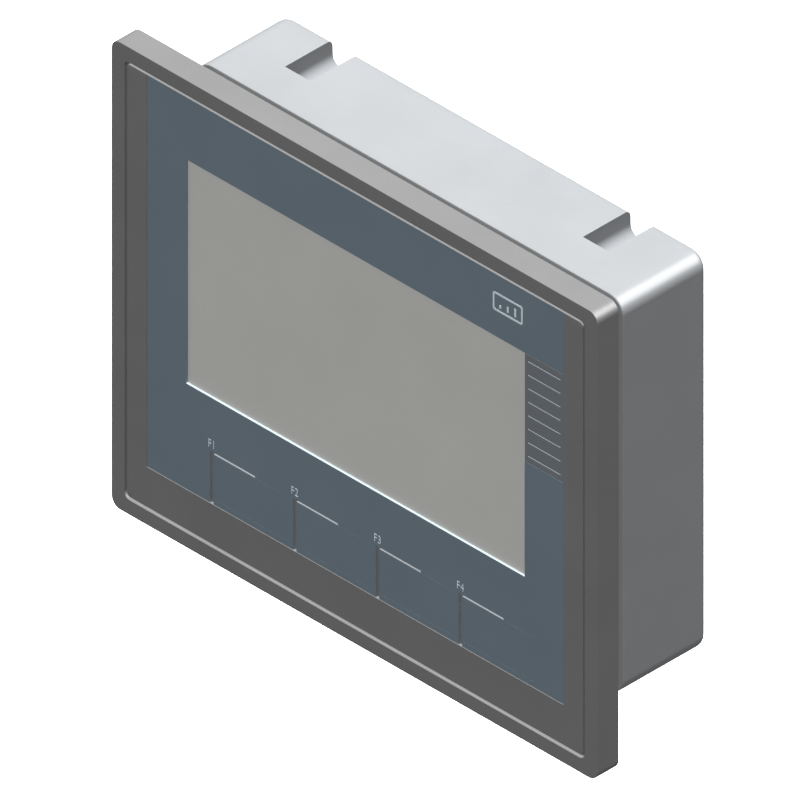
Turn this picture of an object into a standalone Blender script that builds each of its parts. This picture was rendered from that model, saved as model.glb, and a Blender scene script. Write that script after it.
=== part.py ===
"""Operator touch panel of the four-inch class, for the door of a switch cabinet.

Sizes are in millimetres and are turned to metres when a mesh is made. The origin is the
centre of the panel cut-out, on the mounting plane. +X is to the operator's right, +Y goes
into the cabinet and +Z is up, so the operator looks along +Y.
"""

import math

import bmesh
import bpy
from mathutils import Vector

MM = 0.001

# ---- overall sizes ------------------------------------------------------------------
BEZEL_WIDTH = 140.0
BEZEL_HEIGHT = 116.0
BEZEL_DEPTH = 6.1
BEZEL_CORNER = 2.5
BEZEL_OVERHANG = 8.75            # bezel edge to housing side, all round
HOUSING_DEPTH = 34.3             # mounting plane to rear face
HOUSING_CORNER = 4.0
HOUSING_REAR_FILLET = 2.0
HOUSING_WALL = 2.0
COLLAR_LENGTH = 10.0             # narrower neck between bezel and housing
COLLAR_INSET = 1.5
LIP_LENGTH = 3.2                 # tongue of the collar inside the housing
LIP_WALL = 1.8
CUTOUT_CLEARANCE = 0.25          # panel cut-out edge to housing side

# ---- general clearances -------------------------------------------------------------
FIT_GAP = 0.3                    # between pieces that touch
OVERSHOOT = 1.0                  # how far a cutter passes the face it opens
EMBED = 1.0                      # how far an added boss sinks into its wall
MERGE_DISTANCE = 0.0002          # points closer than this are one point
SMOOTH_ANGLE = 35                # degrees; sharper edges stay sharp

# ---- screw shape, as shares of its own head and shank -----------------------------------
SCREW_POINT = 0.6
SCREW_HEAD_SIDE = 0.6
SCREW_CROWN = 0.72
SCREW_SLOT_HALF = 0.14
SCREW_SLOT_DEPTH = 0.4

# ---- bezel front --------------------------------------------------------------------
GROOVE_INSET = 3.75
GROOVE_WIDTH = 0.6
GROOVE_DEPTH = 0.8
GROOVE_CORNER = 1.5
FIELD_RECESS = 0.16
FRONT_WALL = 1.74                # behind the foil pocket

# ---- foil, display window and key marks -----------------------------------------------
OVERLAY_RECESS = 0.1
OVERLAY_THICKNESS = 0.5
OVERLAY_SIDE_MARGIN = 10.3
OVERLAY_BOTTOM_MARGIN = 14.6
WINDOW_WIDTH = 97.5
WINDOW_HEIGHT = 55.6
WINDOW_CENTRE_Z = 10.3
MARK_DEPTH = 0.3
MARK_LEG_WIDTH = 1.2
MARK_BAR_WIDTH = 0.4
MARK_BAR_LENGTH = 12.1

# ---- function keys ------------------------------------------------------------------
KEY_COUNT = 4
KEY_PITCH = 23.86
KEY_ROW_CENTRE_X = 5.69
KEY_WIDTH = 20.1
KEY_HEIGHT = 10.8
KEY_BOTTOM_MARGIN = 1.2          # foil edge to key field
KEY_TRAVEL = 0.4
KEY_TAB = 0.9                    # tabs above and below that keep a key in
KEY_TAB_THICKNESS = 0.6
PLUNGER_RADIUS = 1.6
PLUNGER_LENGTH = 0.3
DOME_CLEARANCE = 0.1             # left between plunger and dome when a key is fully in
DOME_RADIUS = 3.0
DOME_HEIGHT = 0.7
DOME_RISE = 0.15                 # upright share of a dome's height
DOME_SHEET_THICKNESS = 0.25
DOME_SHEET_CORNER = 1.0
KEY_BOARD_THICKNESS = 1.15
KEY_BOARD_MARGIN = 2.2

# ---- display module -----------------------------------------------------------------
TOUCH_BORDER = 2.0
TOUCH_THICKNESS = 1.4
DISPLAY_SIDE_BORDER = 2.75
DISPLAY_END_BORDER = 3.2
DISPLAY_DEPTH = 3.8
DISPLAY_SHEET = 0.6
DISPLAY_LIP = 0.5
DISPLAY_LIP_OPENING = 0.7        # lip edge outside the window
PANEL_THICKNESS = 1.1
LIGHT_GUIDE_THICKNESS = 1.3
LED_STRIP_HEIGHT = 1.6

# ---- carrier plate and its screws -----------------------------------------------------
CARRIER_THICKNESS = 1.0
CARRIER_WALL_GAP = 0.4
CARRIER_POST_RADIUS = 1.9
CARRIER_POST_WALL_GAP = 0.65     # collar's inner wall to post
CARRIER_POST_Z = 28.0
CARRIER_EAR_CORNER = 1.5
CARRIER_SCREW_HEAD = 1.9
CARRIER_SCREW_HEAD_HEIGHT = 1.4
CARRIER_SCREW_SHANK = 0.8
CARRIER_SCREW_LENGTH = 4.4
PILOT_GAP = 0.25                 # screw shank to the wall of its hole

# ---- cover screws and bosses ----------------------------------------------------------
BOSS_INSET = 6.05                # housing side to boss axis
BEZEL_BOSS_RADIUS = 3.2
HOUSING_BOSS_RADIUS = 3.6
BOSS_SEAT_DEPTH = 7.0            # solid part of the housing boss under the screw head
COVER_SCREW_HEAD = 2.5
COVER_SCREW_HEAD_HEIGHT = 2.0
COVER_SCREW_SHANK = 1.25
COVER_SCREW_LENGTH = 15.0

# ---- mounting seal --------------------------------------------------------------------
SEAL_OFFSET = 1.5                # cut-out edge to seal
SEAL_WIDTH = 3.2
SEAL_THICKNESS = 1.8
SEAL_PROUD = 0.5

# ---- clip notches in the housing's long sides -----------------------------------------
NOTCH_CENTRE_X = 42.9
NOTCH_WIDTH = 7.3
NOTCH_DEPTH = 6.0
NOTCH_LENGTH = 13.85             # from the rear face
NOTCH_FLOOR_FILLET = 2.5
HOOK_SLOT_WIDTH = 4.4
HOOK_SLOT_LENGTH = 3.0
HOOK_SLOT_OFFSET = 1.8           # notch front wall to slot

# ---- main board -----------------------------------------------------------------------
SPACER_LENGTH = 11.0
SPACER_RADIUS = 2.6
SPACER_BORE = 1.3
BOARD_THICKNESS = 1.6
BOARD_CORNER = 1.0
BOARD_EDGE_GAP = 0.5
BOARD_TOP_GAP = 3.2
BOARD_SIDE_GAP = 0.8
BOARD_HOLE_INSET_X = 4.8
BOARD_HOLE_INSET_TOP = 6.0
BOARD_HOLE_INSET_BOTTOM = 16.7
BOARD_SCREW_HEAD = 2.3
BOARD_SCREW_HEAD_HEIGHT = 1.7
BOARD_SCREW_SHANK = 1.0
BOARD_SCREW_LENGTH = 6.0

# ---- ports in the bottom wall -----------------------------------------------------------
POWER_X = -28.5
NETWORK_X = -4.0
USB_X = 17.0
EARTH_X = 31.0
PORT_RECESS = 0.3                # port mouth behind the outer face
HEADER_WALL = 1.2
HEADER_DEPTH = 10.7
PLUG_WIDTH = 11.2
PLUG_HEIGHT = 10.8
PLUG_CORNER = 0.6
PLUG_ENGAGEMENT = 7.1
PLUG_PROUD = 3.0
POLE_PITCH = 5.08
PIN_RADIUS = 0.6
PIN_LENGTH = 6.2
PIN_SOCKET_RADIUS = 0.95
WIRE_HOLE_RADIUS = 1.9
WIRE_HOLE_DEPTH = 7.0
WIRE_HOLE_OFFSET = 2.8
PLUG_SCREW_OFFSET = 3.0
PLUG_SCREW_RADIUS = 1.6
PLUG_SCREW_LENGTH = 4.2
PLUG_SCREW_DEPTH = 5.0
PLUG_SCREW_SLOT_HALF = 0.26
PLUG_SCREW_SLOT_DEPTH = 0.8
NETWORK_WIDTH = 16.0
NETWORK_HEIGHT = 13.4
NETWORK_DEPTH = 17.0
NETWORK_MOUTH_WIDTH = 11.8
NETWORK_MOUTH_HEIGHT = 8.0
NETWORK_MOUTH_OFFSET = 2.6
NETWORK_CAVITY_DEPTH = 13.0
NETWORK_LATCH_WIDTH = 6.4
NETWORK_LATCH_HEIGHT = 1.8
NETWORK_CONTACTS = 8
NETWORK_CONTACT_PITCH = 1.02
NETWORK_CONTACT_SIZE = 0.5
NETWORK_CONTACT_LENGTH = 10.0
USB_WIDTH = 13.1
USB_HEIGHT = 5.7
USB_DEPTH = 14.0
USB_SHELL = 0.5
USB_CAVITY_DEPTH = 9.5
USB_TONGUE_WIDTH = 10.8
USB_TONGUE_THICKNESS = 1.8
USB_TONGUE_RECESS = 1.4
EARTH_AXIS_OFFSET = 7.7          # main board to earth screw axis
EARTH_SCREW_SHANK = 1.5
EARTH_SCREW_HEAD = 3.6
EARTH_SCREW_HEAD_HEIGHT = 2.4
EARTH_WASHER_RADIUS = 4.6
EARTH_WASHER_THICKNESS = 0.8
EARTH_INSERT_RADIUS = 3.2
EARTH_INSERT_LENGTH = 5.0

# ---- components on the main board: name, centre (X, Z), width, height, thickness, corner --
CHIPS = (
    ("processor", (-8.0, 8.0), 17.0, 17.0, 1.8, 0.0),
    ("memory_chip", (15.0, 12.0), 11.0, 13.0, 1.2, 0.0),
    ("flash_chip", (15.0, -6.0), 12.0, 8.0, 1.2, 0.0),
    ("power_inductor", (-32.0, -20.0), 12.0, 12.0, 6.0, 2.0),
    ("network_transformer", (NETWORK_X, -23.0), 14.0, 12.0, 6.0, 0.5),
)
SPREADER_SIZE = 24.0
SPREADER_BASE = 2.0
SPREADER_FIN_HEIGHT = 5.0
SPREADER_FINS = 6
CAPACITOR_CENTRE = (-35.0, 4.0)
CAPACITOR_RADIUS = 5.0
CAPACITOR_HEIGHT = 10.0
CAPACITOR_GROOVE = 0.4           # the rolled groove near its top
CAPACITOR_GROOVE_OFFSET = 1.2
COIN_CENTRE = (34.0, 28.0)
COIN_RADIUS = 6.5
COIN_HEIGHT = 5.0
COIN_EDGE = 0.6
BUZZER_CENTRE = (35.0, 4.0)
BUZZER_RADIUS = 6.0
BUZZER_HEIGHT = 6.5
BUZZER_EDGE = 0.5
BUZZER_HOLE_RADIUS = 1.2
BUZZER_HOLE_DEPTH = 2.5

# ---- rating plate on the rear wall ------------------------------------------------------
LABEL_WIDTH = 60.0
LABEL_HEIGHT = 30.0
LABEL_THICKNESS = 0.3
LABEL_CORNER = 1.0

# ---- flat cables ------------------------------------------------------------------------
RIBBON_THICKNESS = 0.3
RIBBON_SLOT_GAP = 0.6
CONNECTOR_HEIGHT = 1.8
CONNECTOR_DEPTH = 4.6
CONNECTOR_SIDE = 1.5
DISPLAY_RIBBON_REACH = 1.9       # from a cable's front end to where it runs back
TOUCH_RIBBON_REACH = 1.8
KEY_RIBBON_REACH = 1.5

# ---- planes worked out from the sizes, front to back --------------------------------------
FRONT_Y = -BEZEL_DEPTH
GROOVE_Y = FRONT_Y + GROOVE_DEPTH
FIELD_Y = FRONT_Y + FIELD_RECESS
OVERLAY_Y = FIELD_Y + OVERLAY_RECESS
OVERLAY_BACK_Y = OVERLAY_Y + OVERLAY_THICKNESS
POCKET_Y = OVERLAY_BACK_Y + FIT_GAP
WALL_BACK_Y = POCKET_Y + FRONT_WALL
DISPLAY_Y = max(WALL_BACK_Y, POCKET_Y + TOUCH_THICKNESS) + FIT_GAP
DISPLAY_BACK_Y = DISPLAY_Y + DISPLAY_DEPTH
KEY_TAB_Y = WALL_BACK_Y + FIT_GAP
PLUNGER_END_Y = KEY_TAB_Y + KEY_TAB_THICKNESS + PLUNGER_LENGTH
DOME_SHEET_Y = PLUNGER_END_Y + KEY_TRAVEL + DOME_CLEARANCE + DOME_HEIGHT
KEY_BOARD_Y = DOME_SHEET_Y + DOME_SHEET_THICKNESS + FIT_GAP
CARRIER_Y = max(DISPLAY_BACK_Y, KEY_BOARD_Y + KEY_BOARD_THICKNESS) + FIT_GAP
CARRIER_BACK_Y = CARRIER_Y + CARRIER_THICKNESS
SPACER_Y = CARRIER_BACK_Y + FIT_GAP
BOARD_Y = SPACER_Y + SPACER_LENGTH + FIT_GAP
BOARD_BACK_Y = BOARD_Y + BOARD_THICKNESS
CHIP_Y = BOARD_BACK_Y + FIT_GAP
LIP_END_Y = COLLAR_LENGTH + LIP_LENGTH
HOUSING_BOSS_Y = LIP_END_Y + FIT_GAP
SCREW_SEAT_Y = HOUSING_BOSS_Y + BOSS_SEAT_DEPTH
REAR_INNER_Y = HOUSING_DEPTH - HOUSING_WALL

# ---- half sizes worked out from the sizes -------------------------------------------------
BEZEL_X = BEZEL_WIDTH / 2
BEZEL_Z = BEZEL_HEIGHT / 2
HOUSING_X = BEZEL_X - BEZEL_OVERHANG
HOUSING_Z = BEZEL_Z - BEZEL_OVERHANG
CUTOUT_X = HOUSING_X + CUTOUT_CLEARANCE
CUTOUT_Z = HOUSING_Z + CUTOUT_CLEARANCE
INNER_INSET = HOUSING_WALL + FIT_GAP + LIP_WALL
INNER_X = HOUSING_X - INNER_INSET
INNER_Z = HOUSING_Z - INNER_INSET
BOSS_X = HOUSING_X - BOSS_INSET
BOSS_Z = HOUSING_Z - BOSS_INSET
WINDOW_X = WINDOW_WIDTH / 2
WINDOW_Z = WINDOW_HEIGHT / 2
DISPLAY_X = WINDOW_X + DISPLAY_SIDE_BORDER
DISPLAY_Z = WINDOW_Z + DISPLAY_END_BORDER
OVERLAY_X = BEZEL_X - OVERLAY_SIDE_MARGIN
OVERLAY_LOW_Z = -BEZEL_Z + OVERLAY_BOTTOM_MARGIN
OVERLAY_HIGH_Z = BEZEL_Z - GROOVE_INSET - GROOVE_WIDTH
KEY_CENTRE_Z = OVERLAY_LOW_Z + KEY_BOTTOM_MARGIN + KEY_HEIGHT / 2
KEY_XS = [KEY_ROW_CENTRE_X + (k - (KEY_COUNT - 1) / 2) * KEY_PITCH for k in range(KEY_COUNT)]
DOME_ROW_HALF = (KEY_COUNT - 1) / 2 * KEY_PITCH + DOME_RADIUS
BOARD_X = BOSS_X - HOUSING_BOSS_RADIUS - BOARD_SIDE_GAP
BOARD_LOW_Z = -HOUSING_Z + HOUSING_WALL + BOARD_EDGE_GAP
BOARD_HIGH_Z = HOUSING_Z - HOUSING_WALL - BOARD_TOP_GAP
PORT_MOUTH_Z = -HOUSING_Z + PORT_RECESS
POWER_Y = CHIP_Y + HEADER_WALL + FIT_GAP + PLUG_HEIGHT / 2
EARTH_Y = BOARD_BACK_Y + EARTH_AXIS_OFFSET
SIDES = (-1, 1)

# ---- flat cables: name, centre X, width, front end (Y, Z), the Z where it runs back ---------
KEY_BOARD_TOP_Z = KEY_CENTRE_Z + KEY_HEIGHT / 2 + KEY_BOARD_MARGIN
DISPLAY_LOW_Z = WINDOW_CENTRE_Z - DISPLAY_Z
TOUCH_LOW_Z = WINDOW_CENTRE_Z - WINDOW_Z - TOUCH_BORDER
TOUCH_CABLE_Y = POCKET_Y + TOUCH_THICKNESS / 2
DISPLAY_CABLE_Y = DISPLAY_BACK_Y - DISPLAY_SHEET
KEY_CABLE_Y = KEY_BOARD_Y + KEY_BOARD_THICKNESS / 2
DISPLAY_CABLE_Z = DISPLAY_LOW_Z - FIT_GAP
TOUCH_CABLE_Z = TOUCH_LOW_Z - FIT_GAP
KEY_CABLE_Z = KEY_BOARD_TOP_Z + FIT_GAP
RIBBONS = (
    ("display", 0.0, 24.0, (DISPLAY_CABLE_Y, DISPLAY_CABLE_Z), DISPLAY_CABLE_Z - DISPLAY_RIBBON_REACH),
    ("touch", 34.0, 8.0, (TOUCH_CABLE_Y, TOUCH_CABLE_Z), TOUCH_CABLE_Z - TOUCH_RIBBON_REACH),
    ("key", -30.0, 8.0, (KEY_CABLE_Y, KEY_CABLE_Z), KEY_CABLE_Z + KEY_RIBBON_REACH),
)


# ---- outlines -------------------------------------------------------------------------
def rectangle(low, high, radius=0.0, steps=6):
    """Counter-clockwise outline between two corners, with round corners if radius is given."""
    if radius <= 0:
        return [(low[0], low[1]), (high[0], low[1]), (high[0], high[1]), (low[0], high[1])]
    points = []
    corners = (
        (high[0] - radius, low[1] + radius, -90),
        (high[0] - radius, high[1] - radius, 0),
        (low[0] + radius, high[1] - radius, 90),
        (low[0] + radius, low[1] + radius, 180),
    )
    for centre_x, centre_z, start in corners:
        for step in range(steps + 1):
            angle = math.radians(start + 90 * step / steps)
            points.append((centre_x + radius * math.cos(angle), centre_z + radius * math.sin(angle)))
    return points


def centred(centre, half_width, half_height, radius=0.0):
    """Rectangle outline about a centre."""
    low = (centre[0] - half_width, centre[1] - half_height)
    high = (centre[0] + half_width, centre[1] + half_height)
    return rectangle(low, high, radius)


def circle(centre, radius, sides=20):
    points = []
    for side in range(sides):
        angle = 2 * math.pi * side / sides
        points.append((centre[0] + radius * math.cos(angle), centre[1] + radius * math.sin(angle)))
    return points


# ---- solids ---------------------------------------------------------------------------
def place(point, along, axis):
    """Outline point and distance along an axis, as a position in metres."""
    first, second = point
    if axis == "X":
        return Vector((along, first, second)) * MM
    if axis == "Y":
        return Vector((first, along, second)) * MM
    return Vector((first, second, along)) * MM


def new_object(name, bm):
    bmesh.ops.recalc_face_normals(bm, faces=bm.faces)
    mesh = bpy.data.meshes.new(name)
    bm.to_mesh(mesh)
    bm.free()
    piece = bpy.data.objects.new(name, mesh)
    bpy.context.scene.collection.objects.link(piece)
    return piece


def loft(name, sections, axis="Y"):
    """Closed solid through outlines of equal point count; each section is (along, outline)."""
    bm = bmesh.new()
    loops = [[bm.verts.new(place(point, along, axis)) for point in outline] for along, outline in sections]
    for first, second in zip(loops, loops[1:]):
        for index in range(len(first)):
            following = (index + 1) % len(first)
            bm.faces.new((first[index], first[following], second[following], second[index]))
    bm.faces.new(loops[0])
    bm.faces.new(loops[-1])
    return new_object(name, bm)


def prism(name, outline, low, high, axis="Y"):
    return loft(name, [(low, outline), (high, outline)], axis)


def box(name, low, high):
    """Box between two corners given as (x, y, z)."""
    return prism(name, rectangle((low[0], low[2]), (high[0], high[2])), low[1], high[1])


def ring(name, outer, inner, low, high, axis="Y"):
    """Solid between two outlines of equal point count."""
    bm = bmesh.new()
    corners = [(outer, low), (outer, high), (inner, high), (inner, low)]
    loops = [[bm.verts.new(place(point, along, axis)) for point in outline] for outline, along in corners]
    for first, second in zip(loops, loops[1:] + loops[:1]):
        for index in range(len(first)):
            following = (index + 1) % len(first)
            bm.faces.new((first[index], first[following], second[following], second[index]))
    return new_object(name, bm)


def turned(name, centre, profile, axis="Y", sides=20):
    """Turned solid about an axis through centre; profile is (radius, along) from end to end."""
    return loft(name, [(along, circle(centre, radius, sides)) for radius, along in profile], axis)


def shape(piece, add=(), remove=()):
    """Join and cut with exact Booleans, then keep the result as the piece's own mesh."""
    tools = [(tool, "UNION") for tool in add] + [(tool, "DIFFERENCE") for tool in remove]
    for tool, operation in tools:
        modifier = piece.modifiers.new(tool.name, "BOOLEAN")
        modifier.operation = operation
        modifier.solver = "EXACT"
        modifier.object = tool
    depsgraph = bpy.context.evaluated_depsgraph_get()
    mesh = bpy.data.meshes.new_from_object(piece.evaluated_get(depsgraph))
    piece.modifiers.clear()
    piece.data = mesh
    for tool, _ in tools:
        bpy.data.objects.remove(tool)
    return piece


# ---- materials --------------------------------------------------------------------------
def material(name, colour, roughness, metallic=0.0):
    """Principled material; the colour is linear red, green and blue."""
    surface = bpy.data.materials.new(name)
    surface.use_nodes = True
    shader = surface.node_tree.nodes["Principled BSDF"]
    shader.inputs["Base Color"].default_value = (*colour, 1.0)
    shader.inputs["Roughness"].default_value = roughness
    shader.inputs["Metallic"].default_value = metallic
    return surface


def group(name, parent=None):
    """Empty that the pieces of one sub-assembly hang under."""
    holder = bpy.data.objects.new(name, None)
    holder.empty_display_size = 10 * MM
    bpy.context.scene.collection.objects.link(holder)
    holder.parent = parent
    return holder


def finish(piece, name, surface, parent, origin=(0.0, 0.0, 0.0)):
    """Name a piece, set its origin, hang it under its group and give it its material."""
    offset = Vector(origin) * MM
    bm = bmesh.new()
    bm.from_mesh(piece.data)
    bmesh.ops.remove_doubles(bm, verts=bm.verts, dist=MERGE_DISTANCE * MM)
    bmesh.ops.dissolve_degenerate(bm, edges=bm.edges, dist=MERGE_DISTANCE * MM)
    bmesh.ops.translate(bm, verts=bm.verts, vec=-offset)
    bm.to_mesh(piece.data)
    bm.free()
    piece.name = name
    piece.data.name = name
    piece.location = offset
    piece.parent = parent
    piece.data.materials.clear()
    piece.data.materials.append(surface)
    piece.data.shade_smooth()
    piece.data.set_sharp_from_angle(angle=math.radians(SMOOTH_ANGLE))
    return piece


def screw(name, centre, seat, head_radius, head_height, shank_radius, length, axis="Y", outward=1):
    """Pan-head screw with a slot; its head stands outward from the seat along the axis."""
    top = seat + outward * head_height
    profile = [
        (shank_radius * SCREW_POINT, seat - outward * length),
        (shank_radius, seat - outward * (length - shank_radius * SCREW_POINT)),
        (shank_radius, seat),
        (head_radius, seat),
        (head_radius, seat + outward * head_height * SCREW_HEAD_SIDE),
        (head_radius * SCREW_CROWN, top),
    ]
    body = turned(name, centre, profile, axis)
    slot = centred(centre, head_radius + OVERSHOOT, head_radius * SCREW_SLOT_HALF)
    floor = top - outward * head_height * SCREW_SLOT_DEPTH
    end = top + outward * OVERSHOOT
    cutter = prism("slot", slot, min(floor, end), max(floor, end), axis)
    return shape(body, remove=[cutter])


# ---- front ------------------------------------------------------------------------------
def housing_outline(inset):
    """Housing outline moved inwards; the corner radius shrinks with it."""
    radius = max(HOUSING_CORNER - inset, 0.5)
    return centred((0, 0), HOUSING_X - inset, HOUSING_Z - inset, radius)


def front_bezel():
    groove_x = BEZEL_X - GROOVE_INSET
    groove_z = BEZEL_Z - GROOVE_INSET
    body = prism("bezel", centred((0, 0), BEZEL_X, BEZEL_Z, BEZEL_CORNER), FRONT_Y, 0)
    recess = centred((0, 0), groove_x, groove_z, GROOVE_CORNER)
    shape(body, remove=[prism("recess", recess, FRONT_Y - OVERSHOOT, GROOVE_Y)])
    island_corner = GROOVE_CORNER - GROOVE_WIDTH
    island = centred((0, 0), groove_x - GROOVE_WIDTH, groove_z - GROOVE_WIDTH, island_corner)
    added = [prism("island", island, FIELD_Y, GROOVE_Y + EMBED)]
    added.append(prism("collar", housing_outline(COLLAR_INSET), -EMBED, COLLAR_LENGTH - FIT_GAP))
    lip_inset = HOUSING_WALL + FIT_GAP
    added.append(prism("lip", housing_outline(lip_inset), COLLAR_LENGTH - EMBED, LIP_END_Y))
    pocket = rectangle((-OVERLAY_X - FIT_GAP, OVERLAY_LOW_Z - FIT_GAP),
                       (OVERLAY_X + FIT_GAP, OVERLAY_HIGH_Z + FIT_GAP))
    removed = [prism("pocket", pocket, FRONT_Y - OVERSHOOT, POCKET_Y)]
    removed.append(prism("inside", housing_outline(INNER_INSET), WALL_BACK_Y, LIP_END_Y + OVERSHOOT))
    seal_outer = SEAL_OFFSET + SEAL_WIDTH + FIT_GAP
    seal_inner = SEAL_OFFSET - FIT_GAP
    groove_floor = SEAL_PROUD - SEAL_THICKNESS - FIT_GAP
    outer = centred((0, 0), CUTOUT_X + seal_outer, CUTOUT_Z + seal_outer, HOUSING_CORNER)
    inner = centred((0, 0), CUTOUT_X + seal_inner, CUTOUT_Z + seal_inner, HOUSING_CORNER)
    removed.append(ring("seal_groove", outer, inner, groove_floor, OVERSHOOT))
    shape(body, added, removed)
    added = []
    removed = []
    for x in SIDES:
        for z in SIDES:
            centre = (x * BOSS_X, z * BOSS_Z)
            boss = circle(centre, BEZEL_BOSS_RADIUS, 24)
            added.append(prism("boss", boss, WALL_BACK_Y - EMBED, LIP_END_Y - PILOT_GAP))
            pilot = circle(centre, COVER_SCREW_SHANK + PILOT_GAP)
            tip = SCREW_SEAT_Y + FIT_GAP - COVER_SCREW_LENGTH - PILOT_GAP
            removed.append(prism("pilot", pilot, tip, LIP_END_Y + OVERSHOOT))
            centre = carrier_screw_centre(x, z)
            post = circle(centre, CARRIER_POST_RADIUS)
            added.append(prism("post", post, WALL_BACK_Y - EMBED, CARRIER_Y - FIT_GAP))
            pilot = circle(centre, CARRIER_SCREW_SHANK + PILOT_GAP, 12)
            tip = CARRIER_BACK_Y + FIT_GAP - CARRIER_SCREW_LENGTH - PILOT_GAP
            removed.append(prism("pilot", pilot, tip, CARRIER_Y + OVERSHOOT))
    touch = TOUCH_BORDER + FIT_GAP
    opening = centred((0, WINDOW_CENTRE_Z), WINDOW_X + touch, WINDOW_Z + touch)
    removed.append(prism("opening", opening, FRONT_Y - OVERSHOOT, WALL_BACK_Y + EMBED))
    for key_x in KEY_XS:
        hole = centred((key_x, KEY_CENTRE_Z), KEY_WIDTH / 2 + FIT_GAP, KEY_HEIGHT / 2 + FIT_GAP)
        removed.append(prism("key_hole", hole, FRONT_Y - OVERSHOOT, WALL_BACK_Y + EMBED))
    for _, cable_x, width, start, run_z in RIBBONS:
        if start[0] < WALL_BACK_Y:
            half = width / 2 + RIBBON_SLOT_GAP
            slot = rectangle((cable_x - half, run_z - RIBBON_THICKNESS - RIBBON_SLOT_GAP),
                             (cable_x + half, start[1] + EMBED))
            removed.append(prism("cable_slot", slot, POCKET_Y - OVERSHOOT, WALL_BACK_Y + EMBED))
    return shape(body, added, removed)


def carrier_screw_centre(x, z):
    """Posts stand beside the collar's inner wall."""
    return (x * (INNER_X - CARRIER_POST_WALL_GAP - CARRIER_POST_RADIUS), z * CARRIER_POST_Z)


def front_overlay():
    outline = rectangle((-OVERLAY_X, OVERLAY_LOW_Z), (OVERLAY_X, OVERLAY_HIGH_Z))
    foil = prism("foil", outline, OVERLAY_Y, OVERLAY_BACK_Y)
    low = OVERLAY_Y - OVERSHOOT
    high = OVERLAY_BACK_Y + OVERSHOOT
    window = centred((0, WINDOW_CENTRE_Z), WINDOW_X, WINDOW_Z)
    removed = [prism("window", window, low, high)]
    for key_x in KEY_XS:
        half_x = KEY_WIDTH / 2 + FIT_GAP
        half_z = KEY_HEIGHT / 2 + FIT_GAP
        removed.append(prism("key_hole", centred((key_x, KEY_CENTRE_Z), half_x, half_z), low, high))
        corner = (key_x - half_x, KEY_CENTRE_Z + half_z)
        overlap = FIT_GAP / 3
        leg = rectangle((corner[0] - MARK_LEG_WIDTH, OVERLAY_LOW_Z - OVERSHOOT),
                        (corner[0] + overlap, corner[1] + MARK_BAR_WIDTH / 2))
        bar = rectangle((corner[0] - MARK_LEG_WIDTH / 2, corner[1] - overlap),
                        (corner[0] + MARK_BAR_LENGTH, corner[1] + MARK_BAR_WIDTH - overlap))
        for outline in (leg, bar):
            removed.append(prism("mark", outline, low, OVERLAY_Y + MARK_DEPTH))
    return shape(foil, remove=removed)


def function_key(key_x):
    centre = (key_x, KEY_CENTRE_Z)
    cap = prism("cap", centred(centre, KEY_WIDTH / 2, KEY_HEIGHT / 2), OVERLAY_Y, KEY_TAB_Y + EMBED / 3)
    tab_outline = centred(centre, KEY_WIDTH / 2 - KEY_TAB, KEY_HEIGHT / 2 + KEY_TAB)
    tabs = prism("tabs", tab_outline, KEY_TAB_Y, KEY_TAB_Y + KEY_TAB_THICKNESS)
    plunger = prism("plunger", circle(centre, PLUNGER_RADIUS), KEY_TAB_Y + EMBED / 4, PLUNGER_END_Y)
    return shape(cap, add=[tabs, plunger])


def key_dome_sheet():
    half_x = DOME_ROW_HALF + KEY_BOARD_MARGIN / 2
    half_z = KEY_HEIGHT / 2 + KEY_BOARD_MARGIN / 2
    outline = centred((KEY_ROW_CENTRE_X, KEY_CENTRE_Z), half_x, half_z, DOME_SHEET_CORNER)
    sheet = prism("sheet", outline, DOME_SHEET_Y, DOME_SHEET_Y + DOME_SHEET_THICKNESS)
    domes = []
    for key_x in KEY_XS:
        base = DOME_SHEET_Y + DOME_SHEET_THICKNESS / 2
        profile = [(DOME_RADIUS, base), (DOME_RADIUS, DOME_SHEET_Y - DOME_HEIGHT * DOME_RISE)]
        turns = (30, 55, 80)
        for turn in turns:
            angle = math.radians(turn)
            crown = math.sin(angle) / math.sin(math.radians(turns[-1]))
            height = DOME_HEIGHT * (DOME_RISE + (1 - DOME_RISE) * crown)
            profile.append((DOME_RADIUS * math.cos(angle), DOME_SHEET_Y - height))
        domes.append(turned("dome", (key_x, KEY_CENTRE_Z), profile, sides=18))
    return shape(sheet, add=domes)


def key_board():
    half_x = DOME_ROW_HALF + KEY_BOARD_MARGIN
    half_z = KEY_HEIGHT / 2 + KEY_BOARD_MARGIN
    outline = centred((KEY_ROW_CENTRE_X, KEY_CENTRE_Z), half_x, half_z)
    return prism("board", outline, KEY_BOARD_Y, KEY_BOARD_Y + KEY_BOARD_THICKNESS)


def mounting_seal():
    reach = SEAL_OFFSET + SEAL_WIDTH
    outer = centred((0, 0), CUTOUT_X + reach, CUTOUT_Z + reach, HOUSING_CORNER - FIT_GAP)
    inner = centred((0, 0), CUTOUT_X + SEAL_OFFSET, CUTOUT_Z + SEAL_OFFSET, HOUSING_CORNER)
    return ring("seal", outer, inner, SEAL_PROUD - SEAL_THICKNESS, SEAL_PROUD)


# ---- display module ---------------------------------------------------------------------
def touch_sensor():
    outline = centred((0, WINDOW_CENTRE_Z), WINDOW_X + TOUCH_BORDER, WINDOW_Z + TOUCH_BORDER)
    return prism("touch", outline, POCKET_Y, POCKET_Y + TOUCH_THICKNESS)


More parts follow.
